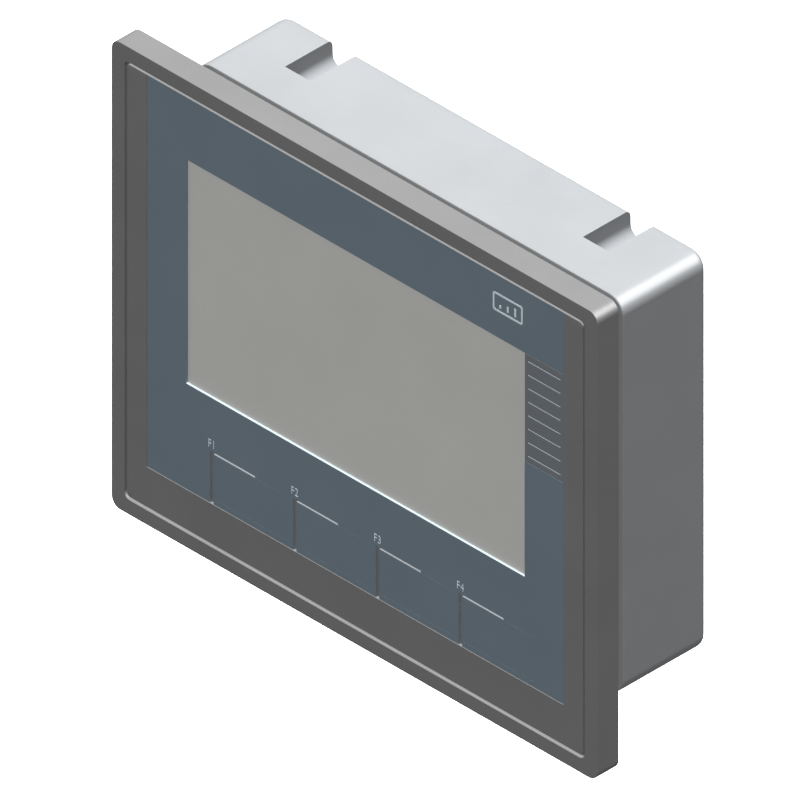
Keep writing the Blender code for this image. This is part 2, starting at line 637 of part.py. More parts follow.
def display_frame():
    centre = (0, WINDOW_CENTRE_Z)
    tray = prism("tray", centred(centre, DISPLAY_X, DISPLAY_Z), DISPLAY_Y, DISPLAY_BACK_Y)
    inside = centred(centre, DISPLAY_X - DISPLAY_SHEET, DISPLAY_Z - DISPLAY_SHEET)
    view = centred(centre, WINDOW_X + DISPLAY_LIP_OPENING, WINDOW_Z + DISPLAY_LIP_OPENING)
    cavity = prism("cavity", inside, DISPLAY_Y + DISPLAY_LIP, DISPLAY_BACK_Y + OVERSHOOT)
    return shape(tray, remove=[cavity, prism("view", view, DISPLAY_Y - OVERSHOOT, DISPLAY_BACK_Y)])


def display_layers():
    """Glass panel, light guide and the LED strip along the light guide's lower edge."""
    half_x = DISPLAY_X - DISPLAY_SHEET - FIT_GAP
    half_z = DISPLAY_Z - DISPLAY_SHEET - FIT_GAP
    centre = (0, WINDOW_CENTRE_Z)
    panel_y = DISPLAY_Y + DISPLAY_LIP + FIT_GAP
    panel = prism("panel", centred(centre, half_x, half_z), panel_y, panel_y + PANEL_THICKNESS)
    guide_y = panel_y + PANEL_THICKNESS + FIT_GAP
    guide_end = guide_y + LIGHT_GUIDE_THICKNESS
    low_z = WINDOW_CENTRE_Z - half_z
    guide_outline = rectangle((-half_x, low_z + LED_STRIP_HEIGHT + FIT_GAP),
                              (half_x, WINDOW_CENTRE_Z + half_z))
    guide = prism("guide", guide_outline, guide_y, guide_end)
    strip_outline = rectangle((-half_x, low_z), (half_x, low_z + LED_STRIP_HEIGHT))
    return panel, guide, prism("strip", strip_outline, guide_y, guide_end)


def carrier_plate():
    narrow_x = BOSS_X - BEZEL_BOSS_RADIUS - CARRIER_WALL_GAP
    ear_z = BOSS_Z - BEZEL_BOSS_RADIUS - CARRIER_WALL_GAP
    wide_x = INNER_X - CARRIER_WALL_GAP
    high_z = INNER_Z - CARRIER_WALL_GAP
    plate = prism("plate", centred((0, 0), narrow_x, high_z), CARRIER_Y, CARRIER_BACK_Y)
    ears = prism("ears", centred((0, 0), wide_x, ear_z, CARRIER_EAR_CORNER), CARRIER_Y, CARRIER_BACK_Y)
    shape(plate, add=[ears])
    low = CARRIER_Y - OVERSHOOT
    high = CARRIER_BACK_Y + OVERSHOOT
    removed = []
    for x in SIDES:
        for z in SIDES:
            hole = circle(carrier_screw_centre(x, z), CARRIER_SCREW_SHANK + FIT_GAP, 16)
            removed.append(prism("hole", hole, low, high))
    for _, cable_x, width, _, run_z in RIBBONS:
        half = width / 2 + RIBBON_SLOT_GAP
        slot = rectangle((cable_x - half, run_z - RIBBON_THICKNESS - RIBBON_SLOT_GAP),
                         (cable_x + half, run_z + RIBBON_SLOT_GAP))
        removed.append(prism("cable_slot", slot, low, high))
    return shape(plate, remove=removed)


def ribbon(cable_x, width, start, run_z):
    """Flat cable: from its start towards run_z, round a bend, then straight back."""
    up = 1 if run_z > start[1] else -1
    end_y = BOARD_Y - FIT_GAP - CONNECTOR_HEIGHT - FIT_GAP
    half = RIBBON_THICKNESS / 2
    bend = RIBBON_THICKNESS * 2
    middle = run_z - half
    outline = [(start[0] - half, start[1]), (start[0] - half, middle - up * (bend - half))]
    for step in range(1, 5):
        angle = math.radians(90 * step / 4)
        outline.append((start[0] + bend - half - bend * math.cos(angle),
                        middle + up * (half - bend + bend * math.sin(angle))))
    outline.append((end_y, middle + up * half))
    outline.append((end_y, middle - up * half))
    outline.append((start[0] + bend, middle - up * half))
    outline.append((start[0] + half, middle - up * (bend - half)))
    outline.append((start[0] + half, start[1]))
    return prism("ribbon", outline, cable_x - width / 2, cable_x + width / 2, "X")


def ribbon_connector(cable_x, width, run_z):
    high_y = BOARD_Y - FIT_GAP
    half = width / 2 + CONNECTOR_SIDE
    middle = run_z - RIBBON_THICKNESS / 2
    low = (cable_x - half, high_y - CONNECTOR_HEIGHT, middle - CONNECTOR_DEPTH / 2)
    high = (cable_x + half, high_y, middle + CONNECTOR_DEPTH / 2)
    return box("connector", low, high)


# ---- main board ---------------------------------------------------------------------------
def board_hole_centres():
    half_x = BOARD_X - BOARD_HOLE_INSET_X
    high = BOARD_HIGH_Z - BOARD_HOLE_INSET_TOP
    low = BOARD_LOW_Z + BOARD_HOLE_INSET_BOTTOM
    return [(-half_x, high), (half_x, high), (half_x, low), (-half_x, low)]


def main_board():
    outline = rectangle((-BOARD_X, BOARD_LOW_Z), (BOARD_X, BOARD_HIGH_Z), BOARD_CORNER)
    board = prism("board", outline, BOARD_Y, BOARD_BACK_Y)
    holes = []
    for centre in board_hole_centres():
        hole = circle(centre, BOARD_SCREW_SHANK + FIT_GAP, 16)
        holes.append(prism("hole", hole, BOARD_Y - OVERSHOOT, BOARD_BACK_Y + OVERSHOOT))
    return shape(board, remove=holes)


def chip(centre, width, height, thickness, corner):
    outline = centred(centre, width / 2, height / 2, corner)
    return prism("chip", outline, CHIP_Y, CHIP_Y + thickness)


def heat_spreader(centre, chip_thickness):
    """Finned aluminium block on a chip; the fins run up and down."""
    seat = CHIP_Y + chip_thickness + FIT_GAP
    valley = seat + SPREADER_BASE
    crest = valley + SPREADER_FIN_HEIGHT
    pitch = SPREADER_SIZE / (2 * SPREADER_FINS - 1)
    half = SPREADER_SIZE / 2
    low_x = centre[0] - half
    outline = [(low_x, seat), (low_x + SPREADER_SIZE, seat)]
    for fin in reversed(range(SPREADER_FINS)):
        left = low_x + 2 * fin * pitch
        outline += [(left + pitch, crest), (left, crest)]
        if fin:
            outline += [(left, valley), (left - pitch, valley)]
    return prism("spreader", outline, centre[1] - half, centre[1] + half, "Z")


def input_capacitor():
    """Round can with the groove rolled in near its top."""
    top = CHIP_Y + CAPACITOR_HEIGHT
    groove = top - CAPACITOR_GROOVE_OFFSET
    profile = [
        (CAPACITOR_RADIUS, CHIP_Y),
        (CAPACITOR_RADIUS, groove - CAPACITOR_GROOVE),
        (CAPACITOR_RADIUS - CAPACITOR_GROOVE, groove),
        (CAPACITOR_RADIUS, groove + CAPACITOR_GROOVE),
        (CAPACITOR_RADIUS, top),
    ]
    return turned("capacitor", CAPACITOR_CENTRE, profile)


def edged_disc(centre, radius, height, edge):
    """Upright disc on the board with its outer edge cut back."""
    top = CHIP_Y + height
    profile = [(radius, CHIP_Y), (radius, top - edge), (radius - edge, top)]
    return turned("disc", centre, profile)


def buzzer():
    body = edged_disc(BUZZER_CENTRE, BUZZER_RADIUS, BUZZER_HEIGHT, BUZZER_EDGE)
    top = CHIP_Y + BUZZER_HEIGHT
    hole = circle(BUZZER_CENTRE, BUZZER_HOLE_RADIUS, 12)
    return shape(body, remove=[prism("sound_hole", hole, top - BUZZER_HOLE_DEPTH, top + OVERSHOOT)])


# ---- ports --------------------------------------------------------------------------------
def plug_outline(margin, corner=0.0):
    """The power plug's outline in X and Y, widened all round by a margin."""
    return centred((POWER_X, POWER_Y), PLUG_WIDTH / 2 + margin, PLUG_HEIGHT / 2 + margin, corner)


def power_header():
    floor = BOARD_LOW_Z + PLUG_ENGAGEMENT + FIT_GAP
    body = prism("header", plug_outline(FIT_GAP + HEADER_WALL), BOARD_LOW_Z, BOARD_LOW_Z + HEADER_DEPTH, "Z")
    shape(body, remove=[prism("cavity", plug_outline(FIT_GAP), BOARD_LOW_Z - OVERSHOOT, floor, "Z")])
    pins = []
    for x in SIDES:
        pin = circle((POWER_X + x * POLE_PITCH / 2, POWER_Y), PIN_RADIUS, 12)
        pins.append(prism("pin", pin, floor - PIN_LENGTH, floor + EMBED, "Z"))
    return shape(body, add=pins)


def plug_bottom():
    return -HOUSING_Z - PLUG_PROUD


def power_plug():
    low = plug_bottom()
    high = BOARD_LOW_Z + PLUG_ENGAGEMENT
    body = prism("plug", plug_outline(0, PLUG_CORNER), low, high, "Z")
    removed = []
    for x in SIDES:
        pole_x = POWER_X + x * POLE_PITCH / 2
        socket = circle((pole_x, POWER_Y), PIN_SOCKET_RADIUS, 12)
        removed.append(prism("socket", socket, high - PIN_LENGTH - FIT_GAP, high + OVERSHOOT, "Z"))
        wire = circle((pole_x, POWER_Y + WIRE_HOLE_OFFSET), WIRE_HOLE_RADIUS)
        removed.append(prism("wire_hole", wire, low - OVERSHOOT, low + WIRE_HOLE_DEPTH, "Z"))
        well = circle((pole_x, POWER_Y - PLUG_SCREW_OFFSET), PLUG_SCREW_RADIUS + FIT_GAP)
        removed.append(prism("screw_well", well, low - OVERSHOOT, low + PLUG_SCREW_DEPTH, "Z"))
    return shape(body, remove=removed)


def plug_screw(side):
    centre = (POWER_X + side * POLE_PITCH / 2, POWER_Y - PLUG_SCREW_OFFSET)
    high = plug_bottom() + PLUG_SCREW_DEPTH - FIT_GAP
    low = high - PLUG_SCREW_LENGTH
    body = prism("screw", circle(centre, PLUG_SCREW_RADIUS), low, high, "Z")
    slot = centred(centre, PLUG_SCREW_RADIUS + OVERSHOOT, PLUG_SCREW_SLOT_HALF)
    shape(body, remove=[prism("slot", slot, low - OVERSHOOT, low + PLUG_SCREW_SLOT_DEPTH, "Z")])
    return body, (*centre, low)


def network_socket():
    low = (NETWORK_X - NETWORK_WIDTH / 2, CHIP_Y, PORT_MOUTH_Z)
    high = (NETWORK_X + NETWORK_WIDTH / 2, CHIP_Y + NETWORK_HEIGHT, PORT_MOUTH_Z + NETWORK_DEPTH)
    body = box("socket", low, high)
    floor = CHIP_Y + NETWORK_MOUTH_OFFSET
    mouth_low = (NETWORK_X - NETWORK_MOUTH_WIDTH / 2, floor, PORT_MOUTH_Z - OVERSHOOT)
    mouth_high = (NETWORK_X + NETWORK_MOUTH_WIDTH / 2, floor + NETWORK_MOUTH_HEIGHT,
                  PORT_MOUTH_Z + NETWORK_CAVITY_DEPTH)
    latch_low = (NETWORK_X - NETWORK_LATCH_WIDTH / 2, floor + NETWORK_MOUTH_HEIGHT - EMBED / 2, mouth_low[2])
    latch_high = (NETWORK_X + NETWORK_LATCH_WIDTH / 2, floor + NETWORK_MOUTH_HEIGHT + NETWORK_LATCH_HEIGHT,
                  mouth_high[2] - EMBED / 2)
    shape(body, remove=[box("mouth", mouth_low, mouth_high), box("latch", latch_low, latch_high)])
    contacts = []
    for index in range(NETWORK_CONTACTS):
        contact_x = NETWORK_X + (index - (NETWORK_CONTACTS - 1) / 2) * NETWORK_CONTACT_PITCH
        half = NETWORK_CONTACT_SIZE / 2
        contact_low = (contact_x - half, floor - EMBED / 2, mouth_high[2] - NETWORK_CONTACT_LENGTH)
        contact_high = (contact_x + half, floor + 2 * NETWORK_CONTACT_SIZE, mouth_high[2] + EMBED / 2)
        contacts.append(box("contact", contact_low, contact_high))
    return shape(body, add=contacts)


def usb_socket():
    low = (USB_X - USB_WIDTH / 2, CHIP_Y, PORT_MOUTH_Z)
    high = (USB_X + USB_WIDTH / 2, CHIP_Y + USB_HEIGHT, PORT_MOUTH_Z + USB_DEPTH)
    body = box("shell", low, high)
    cavity_low = (low[0] + USB_SHELL, low[1] + USB_SHELL, low[2] - OVERSHOOT)
    cavity_high = (high[0] - USB_SHELL, high[1] - USB_SHELL, low[2] + USB_CAVITY_DEPTH)
    return shape(body, remove=[box("cavity", cavity_low, cavity_high)])


def usb_tongue():
    low_y = CHIP_Y + USB_SHELL + FIT_GAP
    low = (USB_X - USB_TONGUE_WIDTH / 2, low_y, PORT_MOUTH_Z + USB_TONGUE_RECESS)
    high = (USB_X + USB_TONGUE_WIDTH / 2, low_y + USB_TONGUE_THICKNESS,
            PORT_MOUTH_Z + USB_CAVITY_DEPTH - FIT_GAP)
    return box("tongue", low, high)


def earth_terminal():
    """Screw, washer and threaded insert, on one upright axis through the bottom wall."""
    centre = (EARTH_X, EARTH_Y)
    washer_high = -HOUSING_Z - FIT_GAP
    washer_low = washer_high - EARTH_WASHER_THICKNESS
    bore = EARTH_SCREW_SHANK + FIT_GAP
    washer = ring("washer", circle(centre, EARTH_WASHER_RADIUS), circle(centre, bore),
                  washer_low, washer_high, "Z")
    insert_low = -HOUSING_Z + HOUSING_WALL + FIT_GAP
    insert = ring("insert", circle(centre, EARTH_INSERT_RADIUS), circle(centre, bore),
                  insert_low, insert_low + EARTH_INSERT_LENGTH, "Z")
    seat = washer_low - FIT_GAP
    length = insert_low + EARTH_INSERT_LENGTH - seat
    body = screw("screw", centre, seat, EARTH_SCREW_HEAD, EARTH_SCREW_HEAD_HEIGHT,
                 EARTH_SCREW_SHANK, length, "Z", -1)
    return body, washer, insert, (*centre, seat)


# ---- rear housing -------------------------------------------------------------------------
def fillet_sections():
    """Housing sections from its front edge to the rounded rear edge."""
    sections = [(COLLAR_LENGTH, housing_outline(0))]
    for step in range(6):
        angle = math.radians(90 * step / 5)
        inset = HOUSING_REAR_FILLET * (1 - math.cos(angle))
        along = HOUSING_DEPTH - HOUSING_REAR_FILLET * (1 - math.sin(angle))
        sections.append((along, housing_outline(inset)))
    return sections


def notch_tools(x, z):
    """Wall block added inside the shell, and the notch and hook slot cut through it."""
    centre_x = x * NOTCH_CENTRE_X
    front = HOUSING_DEPTH - NOTCH_LENGTH
    floor = HOUSING_Z - NOTCH_DEPTH
    half = NOTCH_WIDTH / 2
    block_half = half + HOUSING_WALL
    levels = sorted((z * (floor - HOUSING_WALL), z * (HOUSING_Z - HOUSING_WALL / 2)))
    block = box("block", (centre_x - block_half, front - HOUSING_WALL, levels[0]),
                (centre_x + block_half, REAR_INNER_Y + HOUSING_WALL / 2, levels[1]))
    mouth = z * (HOUSING_Z + OVERSHOOT)
    outline = [(centre_x + half, mouth), (centre_x - half, mouth)]
    fillet = NOTCH_FLOOR_FILLET
    for side, start in ((-1, 0), (1, 90)):
        for step in range(7):
            angle = math.radians(start + 90 * step / 6)
            corner_x = centre_x + side * (half - fillet)
            outline.append((corner_x - fillet * math.cos(angle),
                            z * (floor + fillet - fillet * math.sin(angle))))
    notch = prism("notch", outline, front, HOUSING_DEPTH + OVERSHOOT)
    slot_y = front + HOOK_SLOT_OFFSET
    levels = sorted((z * (floor - HOUSING_WALL - OVERSHOOT), z * (floor + OVERSHOOT)))
    slot = box("hook_slot", (centre_x - HOOK_SLOT_WIDTH / 2, slot_y, levels[0]),
               (centre_x + HOOK_SLOT_WIDTH / 2, slot_y + HOOK_SLOT_LENGTH, levels[1]))
    return block, notch, slot


def port_opening(outline):
    """Hole through the bottom wall, around a port's outline in X and Y."""
    return prism("port", outline, -HOUSING_Z - OVERSHOOT, -HOUSING_Z + HOUSING_WALL + FIT_GAP, "Z")


def rear_housing():
    body = loft("housing", fillet_sections())
    inside = prism("inside", housing_outline(HOUSING_WALL), COLLAR_LENGTH - OVERSHOOT, REAR_INNER_Y)
    shape(body, remove=[inside])
    added = []
    removed = []
    for x in SIDES:
        for z in SIDES:
            centre = (x * BOSS_X, z * BOSS_Z)
            boss = circle(centre, HOUSING_BOSS_RADIUS, 24)
            added.append(prism("boss", boss, HOUSING_BOSS_Y, REAR_INNER_Y + EMBED))
            bore = circle(centre, COVER_SCREW_HEAD + FIT_GAP, 24)
            removed.append(prism("counterbore", bore, SCREW_SEAT_Y, HOUSING_DEPTH + OVERSHOOT))
            hole = circle(centre, COVER_SCREW_SHANK + PILOT_GAP)
            removed.append(prism("hole", hole, HOUSING_BOSS_Y - OVERSHOOT, SCREW_SEAT_Y + OVERSHOOT))
            block, notch, slot = notch_tools(x, z)
            added.append(block)
            removed += [notch, slot]
    removed.append(port_opening(plug_outline(2 * FIT_GAP, PLUG_CORNER + FIT_GAP)))
    ports = ((NETWORK_X, NETWORK_WIDTH, NETWORK_HEIGHT), (USB_X, USB_WIDTH, USB_HEIGHT))
    for port_x, width, height in ports:
        low = (port_x - width / 2 - FIT_GAP, CHIP_Y - FIT_GAP)
        high = (port_x + width / 2 + FIT_GAP, CHIP_Y + height + FIT_GAP)
        removed.append(port_opening(rectangle(low, high)))
    removed.append(port_opening(circle((EARTH_X, EARTH_Y), EARTH_SCREW_SHANK + FIT_GAP)))
    label = centred((0, 0), LABEL_WIDTH / 2 + FIT_GAP, LABEL_HEIGHT / 2 + FIT_GAP, LABEL_CORNER)
    label_floor = HOUSING_DEPTH - LABEL_THICKNESS - FIT_GAP
    removed.append(prism("label_recess", label, label_floor, HOUSING_DEPTH + OVERSHOOT))
    return shape(body, added, removed)


def rating_label():
    outline = centred((0, 0), LABEL_WIDTH / 2, LABEL_HEIGHT / 2, LABEL_CORNER)
    return prism("label", outline, HOUSING_DEPTH - LABEL_THICKNESS, HOUSING_DEPTH)


# ---- assembly -----------------------------------------------------------------------------
def build_front(holder):
    dark_plastic = material("bezel_plastic", (0.098, 0.098, 0.098), 0.45)
    foil = material("overlay_foil", (0.088, 0.112, 0.133), 0.4)
    rubber = material("seal_rubber", (0.02, 0.02, 0.02), 0.8)
    dome_metal = material("dome_steel", (0.55, 0.55, 0.55), 0.3, 1.0)
    circuit = material("circuit_board", (0.02, 0.12, 0.05), 0.5)
    finish(front_bezel(), "front_bezel", dark_plastic, holder)
    finish(front_overlay(), "front_overlay", foil, holder)
    finish(mounting_seal(), "mounting_seal", rubber, holder)
    finish(key_dome_sheet(), "key_dome_sheet", dome_metal, holder)
    finish(key_board(), "key_board", circuit, holder)
    for index, key_x in enumerate(KEY_XS):
        origin = (key_x, OVERLAY_Y, KEY_CENTRE_Z)
        finish(function_key(key_x), f"function_key_{index + 1}", foil, holder, origin)


def build_display(holder):
    glass = material("touch_glass", (0.29, 0.3, 0.285), 0.25)
    steel = material("pressed_steel", (0.6, 0.6, 0.6), 0.35, 1.0)
    clear = material("light_guide", (0.85, 0.87, 0.85), 0.2)
    diode = material("led_strip", (0.8, 0.78, 0.6), 0.5)
    finish(touch_sensor(), "touch_sensor", glass, holder)
    finish(display_frame(), "display_frame", steel, holder)
    panel, guide, strip = display_layers()
    finish(panel, "display_panel", glass, holder)
    finish(guide, "light_guide", clear, holder)
    finish(strip, "backlight_strip", diode, holder)
    finish(carrier_plate(), "carrier_plate", steel, holder)
    seat = CARRIER_BACK_Y + FIT_GAP
    for index, (x, z) in enumerate(((-1, 1), (1, 1), (1, -1), (-1, -1))):
        centre = carrier_screw_centre(x, z)
        piece = screw("screw", centre, seat, CARRIER_SCREW_HEAD, CARRIER_SCREW_HEAD_HEIGHT,
                      CARRIER_SCREW_SHANK, CARRIER_SCREW_LENGTH)
        origin = (centre[0], seat, centre[1])
        finish(piece, f"carrier_screw_{index + 1}", steel, holder, origin)


def build_board(holder):
    circuit = material("main_board_laminate", (0.02, 0.12, 0.05), 0.5)
    black = material("chip_resin", (0.015, 0.015, 0.015), 0.5)
    brass = material("plated_brass", (0.7, 0.65, 0.5), 0.35, 1.0)
    steel = material("screw_steel", (0.55, 0.55, 0.55), 0.35, 1.0)
    aluminium = material("heat_spreader_aluminium", (0.75, 0.75, 0.76), 0.4, 1.0)
    sleeve = material("capacitor_sleeve", (0.03, 0.05, 0.12), 0.4)
    polyimide = material("ribbon_polyimide", (0.45, 0.16, 0.03), 0.35)
    ivory = material("connector_nylon", (0.75, 0.72, 0.62), 0.5)
    finish(main_board(), "main_board", circuit, holder)
    for index, centre in enumerate(board_hole_centres()):
        spacer = ring("spacer", circle(centre, SPACER_RADIUS, 12), circle(centre, SPACER_BORE, 12),
                      SPACER_Y, SPACER_Y + SPACER_LENGTH)
        finish(spacer, f"board_spacer_{index + 1}", brass, holder, (centre[0], SPACER_Y, centre[1]))
        piece = screw("screw", centre, CHIP_Y, BOARD_SCREW_HEAD, BOARD_SCREW_HEAD_HEIGHT,
                      BOARD_SCREW_SHANK, BOARD_SCREW_LENGTH)
        finish(piece, f"board_screw_{index + 1}", steel, holder, (centre[0], CHIP_Y, centre[1]))
    for name, centre, width, height, thickness, corner in CHIPS:
        finish(chip(centre, width, height, thickness, corner), name, black, holder)
        if name == "processor":
            finish(heat_spreader(centre, thickness), "heat_spreader", aluminium, holder)
    finish(input_capacitor(), "input_capacitor", sleeve, holder)
    coin = edged_disc(COIN_CENTRE, COIN_RADIUS, COIN_HEIGHT, COIN_EDGE)
    finish(coin, "clock_capacitor", aluminium, holder)
    finish(buzzer(), "buzzer", black, holder)
    for name, cable_x, width, start, run_z in RIBBONS:
        finish(ribbon(cable_x, width, start, run_z), f"{name}_ribbon", polyimide, holder)
        finish(ribbon_connector(cable_x, width, run_z), f"{name}_connector", ivory, holder)


def build_ports(holder):
    green = material("terminal_polyamide", (0.05, 0.32, 0.12), 0.5)
    black = material("header_polyamide", (0.02, 0.02, 0.02), 0.5)
    shell = material("port_shell_steel", (0.6, 0.6, 0.6), 0.3, 1.0)
    steel = material("terminal_steel", (0.55, 0.55, 0.55), 0.35, 1.0)
    brass = material("insert_brass", (0.75, 0.55, 0.25), 0.35, 1.0)
    finish(power_header(), "power_header", black, holder)
    finish(power_plug(), "power_plug", green, holder, (POWER_X, POWER_Y, plug_bottom()))
    for index, side in enumerate(SIDES):
        piece, origin = plug_screw(side)
        finish(piece, f"plug_screw_{index + 1}", steel, holder, origin)
    finish(network_socket(), "network_socket", shell, holder)
    finish(usb_socket(), "usb_socket", shell, holder)
    finish(usb_tongue(), "usb_tongue", black, holder)
    piece, washer, insert, origin = earth_terminal()
    finish(piece, "earth_screw", steel, holder, origin)
    finish(washer, "earth_washer", steel, holder)
    finish(insert, "earth_insert", brass, holder)


def build_housing(holder):
    pale_plastic = material("housing_plastic", (0.42, 0.44, 0.45), 0.5)
    steel = material("cover_screw_steel", (0.5, 0.5, 0.5), 0.35, 1.0)
    silver = material("label_foil", (0.6, 0.61, 0.62), 0.4)
    finish(rear_housing(), "rear_housing", pale_plastic, holder)
    finish(rating_label(), "rating_label", silver, holder)
    seat = SCREW_SEAT_Y + FIT_GAP
    for index, (x, z) in enumerate(((-1, 1), (1, 1), (1, -1), (-1, -1))):
        centre = (x * BOSS_X, z * BOSS_Z)
        piece = screw("screw", centre, seat, COVER_SCREW_HEAD, COVER_SCREW_HEAD_HEIGHT,
                      COVER_SCREW_SHANK, COVER_SCREW_LENGTH)
        finish(piece, f"cover_screw_{index + 1}", steel, holder, (centre[0], seat, centre[1]))


def main():
    for leftover in list(bpy.data.objects):
        bpy.data.objects.remove(leftover)
    whole = group("panel_assembly")
    build_front(group("front_group", whole))
    build_display(group("display_group", whole))
    build_board(group("board_group", whole))
    build_ports(group("port_group", whole))
    build_housing(group("housing_group", whole))


main()
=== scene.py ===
import math

import bmesh
import bpy
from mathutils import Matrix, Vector


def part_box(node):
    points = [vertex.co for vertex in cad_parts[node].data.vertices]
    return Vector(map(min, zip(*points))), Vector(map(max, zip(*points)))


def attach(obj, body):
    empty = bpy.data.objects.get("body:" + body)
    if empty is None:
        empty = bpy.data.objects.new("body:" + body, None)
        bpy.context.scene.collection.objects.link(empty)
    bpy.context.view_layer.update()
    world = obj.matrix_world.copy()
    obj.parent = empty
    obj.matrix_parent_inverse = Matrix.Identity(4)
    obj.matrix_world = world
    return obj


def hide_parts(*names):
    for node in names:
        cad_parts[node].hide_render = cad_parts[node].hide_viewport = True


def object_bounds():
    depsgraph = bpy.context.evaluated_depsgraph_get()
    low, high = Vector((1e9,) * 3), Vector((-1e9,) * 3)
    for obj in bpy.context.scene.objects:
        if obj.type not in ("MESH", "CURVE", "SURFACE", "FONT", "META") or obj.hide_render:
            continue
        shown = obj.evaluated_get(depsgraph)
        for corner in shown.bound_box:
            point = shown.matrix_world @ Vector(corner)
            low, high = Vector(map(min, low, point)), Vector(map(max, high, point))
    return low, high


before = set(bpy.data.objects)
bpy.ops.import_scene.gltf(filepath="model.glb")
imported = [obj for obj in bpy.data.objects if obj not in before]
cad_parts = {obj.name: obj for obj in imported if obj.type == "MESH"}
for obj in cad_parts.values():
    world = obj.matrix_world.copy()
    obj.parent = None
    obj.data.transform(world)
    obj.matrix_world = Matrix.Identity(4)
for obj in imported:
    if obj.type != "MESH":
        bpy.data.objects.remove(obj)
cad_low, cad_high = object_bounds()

# Looks of the four-inch operator touch panel. Sizes are in millimetres and become metres in
# the meshes. +X is to the operator's right, +Y goes into the cabinet and +Z is up. Places are
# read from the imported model's boxes; the values below are the detail that is finer than that.
MM = 0.001
MOUNT_PLANE = 0.0                # rear face of the bezel's flange

# ---- bezel moulding ----
BEZEL_CORNER = 2.5
BEZEL_FRONT_EASE = 0.12          # radius of the outer front edge
BEZEL_REAR_EASE = 0.06
GROOVE_INSET = 3.75
GROOVE_WIDTH = 0.6
GROOVE_DEPTH = 0.8
GROOVE_CORNER = 1.5
LIP_EASE = 0.1                   # radius of small moulded lips
FIELD_RECESS = 0.16
COLLAR_INSET = 10.25             # bezel edge to collar
COLLAR_CORNER = 2.5
COLLAR_END = 9.7
LIP_INSET = 11.05                # bezel edge to the tongue inside the housing
LIP_CORNER = 1.7
INNER_INSET = 12.85
INNER_CORNER = 0.5
WALL_BACK = -3.3
POCKET_GAP = 0.3                 # CAD foil to the pocket's edge
POCKET_TOP_LAND = 0.05           # bezel left between the foil and the groove
SEAL_GAP = 0.3
SEAL_WIDTH = 3.2
SEAL_LIP_WIDTH = 1.1             # seal edge to the inner side of its lip
SEAL_LIP_SLOPE = 0.35
SEAL_LIP_HEIGHT = 0.5
SEAL_VALLEY = 0.45
SEAL_CORNER_STEP = 0.15          # how much tighter the seal's corner is than the housing's
BOSS_RADIUS = 3.2
POST_RADIUS = 1.9
PILOT_GAP = 0.25
PILOT_RADIUS = 1.05              # hole for a carrier screw

# ---- membrane and keys ----
FOIL_SPREAD = 0.27               # the foil fills its pocket down to a hairline
KEY_SPREAD = 0.1                 # so do the keys, under the foil's edge
KEY_SLIT = 0.01
FOIL_BACKING = 0.28              # adhesive layer behind the foil
WINDOW_HALF_WIDTH = 48.75
WINDOW_LOW = -17.5
WINDOW_HIGH = 38.1
KEY_GAP = 0.3
KEY_TAB = 0.9                    # tabs above and below a key, behind the wall
KEY_TAB_THICKNESS = 0.6
PLUNGER_RADIUS = 1.6
MARK_DEPTH = 0.55
MARK_LEG_WIDTH = 1.0
MARK_LEG_GAP = 0.36              # key opening to leg
MARK_BAR_WIDTH = 0.4
MARK_BAR_LENGTH = 11.9
LABEL_HEIGHT = 1.95              # key numbers
LABEL_NARROWING = 0.8
LABEL_THINNING = 0.012           # share of the letter height taken off each stroke's sides
LABEL_RISE = 1.25                # above a mark's bar
LABEL_SHIFT = -0.45
PRINT_THICKNESS = 0.02
STRIP_LEFT = 48.8
STRIP_LOW = 11.2
STRIP_HIGH = 38.1
STRIP_RIBS = 8
STRIP_RIB_WIDTH = 0.24
STRIP_RIB_DEPTH = 0.2
STRIP_RIB_INSET = 0.9
WINDOW_STEP = 0.26               # raised viewing area of the touch plate
PICTOGRAM_LOW = (39.6, 44.5)
PICTOGRAM_HIGH = (48.2, 49.1)
PICTOGRAM_LINE = 0.45
PICTOGRAM_FOOT = 1.1             # screen outline to the bars' lower ends
PICTOGRAM_FIRST_TOP = 1.3
PICTOGRAM_STEP = 0.6             # each bar is taller by this

# ---- housing shell ----
HOUSING_CORNER = 4.0
HOUSING_WALL = 2.0
HOUSING_FRONT = 10.0
HOUSING_FRONT_EASE = 0.3
HOUSING_REAR_FILLET = 2.0
HOUSING_BOSS_RADIUS = 3.6
HOUSING_BOSS_FRONT = 13.5
SCREW_SEAT = 20.5
COUNTERBORE_RADIUS = 2.8
SCREW_HOLE_RADIUS = 1.5
NOTCH_CENTRE = 42.9
NOTCH_HALF = 3.65
NOTCH_DEPTH = 6.0
NOTCH_LENGTH = 13.85
NOTCH_FLOOR_FILLET = 2.5
NOTCH_ARC_STEPS = 6
HOOK_HALF = 2.2
HOOK_LENGTH = 3.0
HOOK_OFFSET = 1.8
EDGE_EASE = 0.14                 # radius of the housing's moulded edges
END_INSET = 6.0                  # edge to the innermost ring of an end face
EARTH_HOLE_RADIUS = 1.8
PLATE_GAP = 0.12                 # type plate to the edge of its recess
PLATE_CORNER = 1.0
PLATE_SINK = 0.05
PLATE_FRAME_INSET = 1.5
RULE_ROWS = 4
RULE_PITCH = 4.6
RULE_WIDTH = 0.25
RULE_RIGHT = 6.0
FIELD_LEFT = 10.0                # empty fields lie on the +X side of the rules
FIELD_PITCH = 9.0
FIELD_WIDTH = 7.0

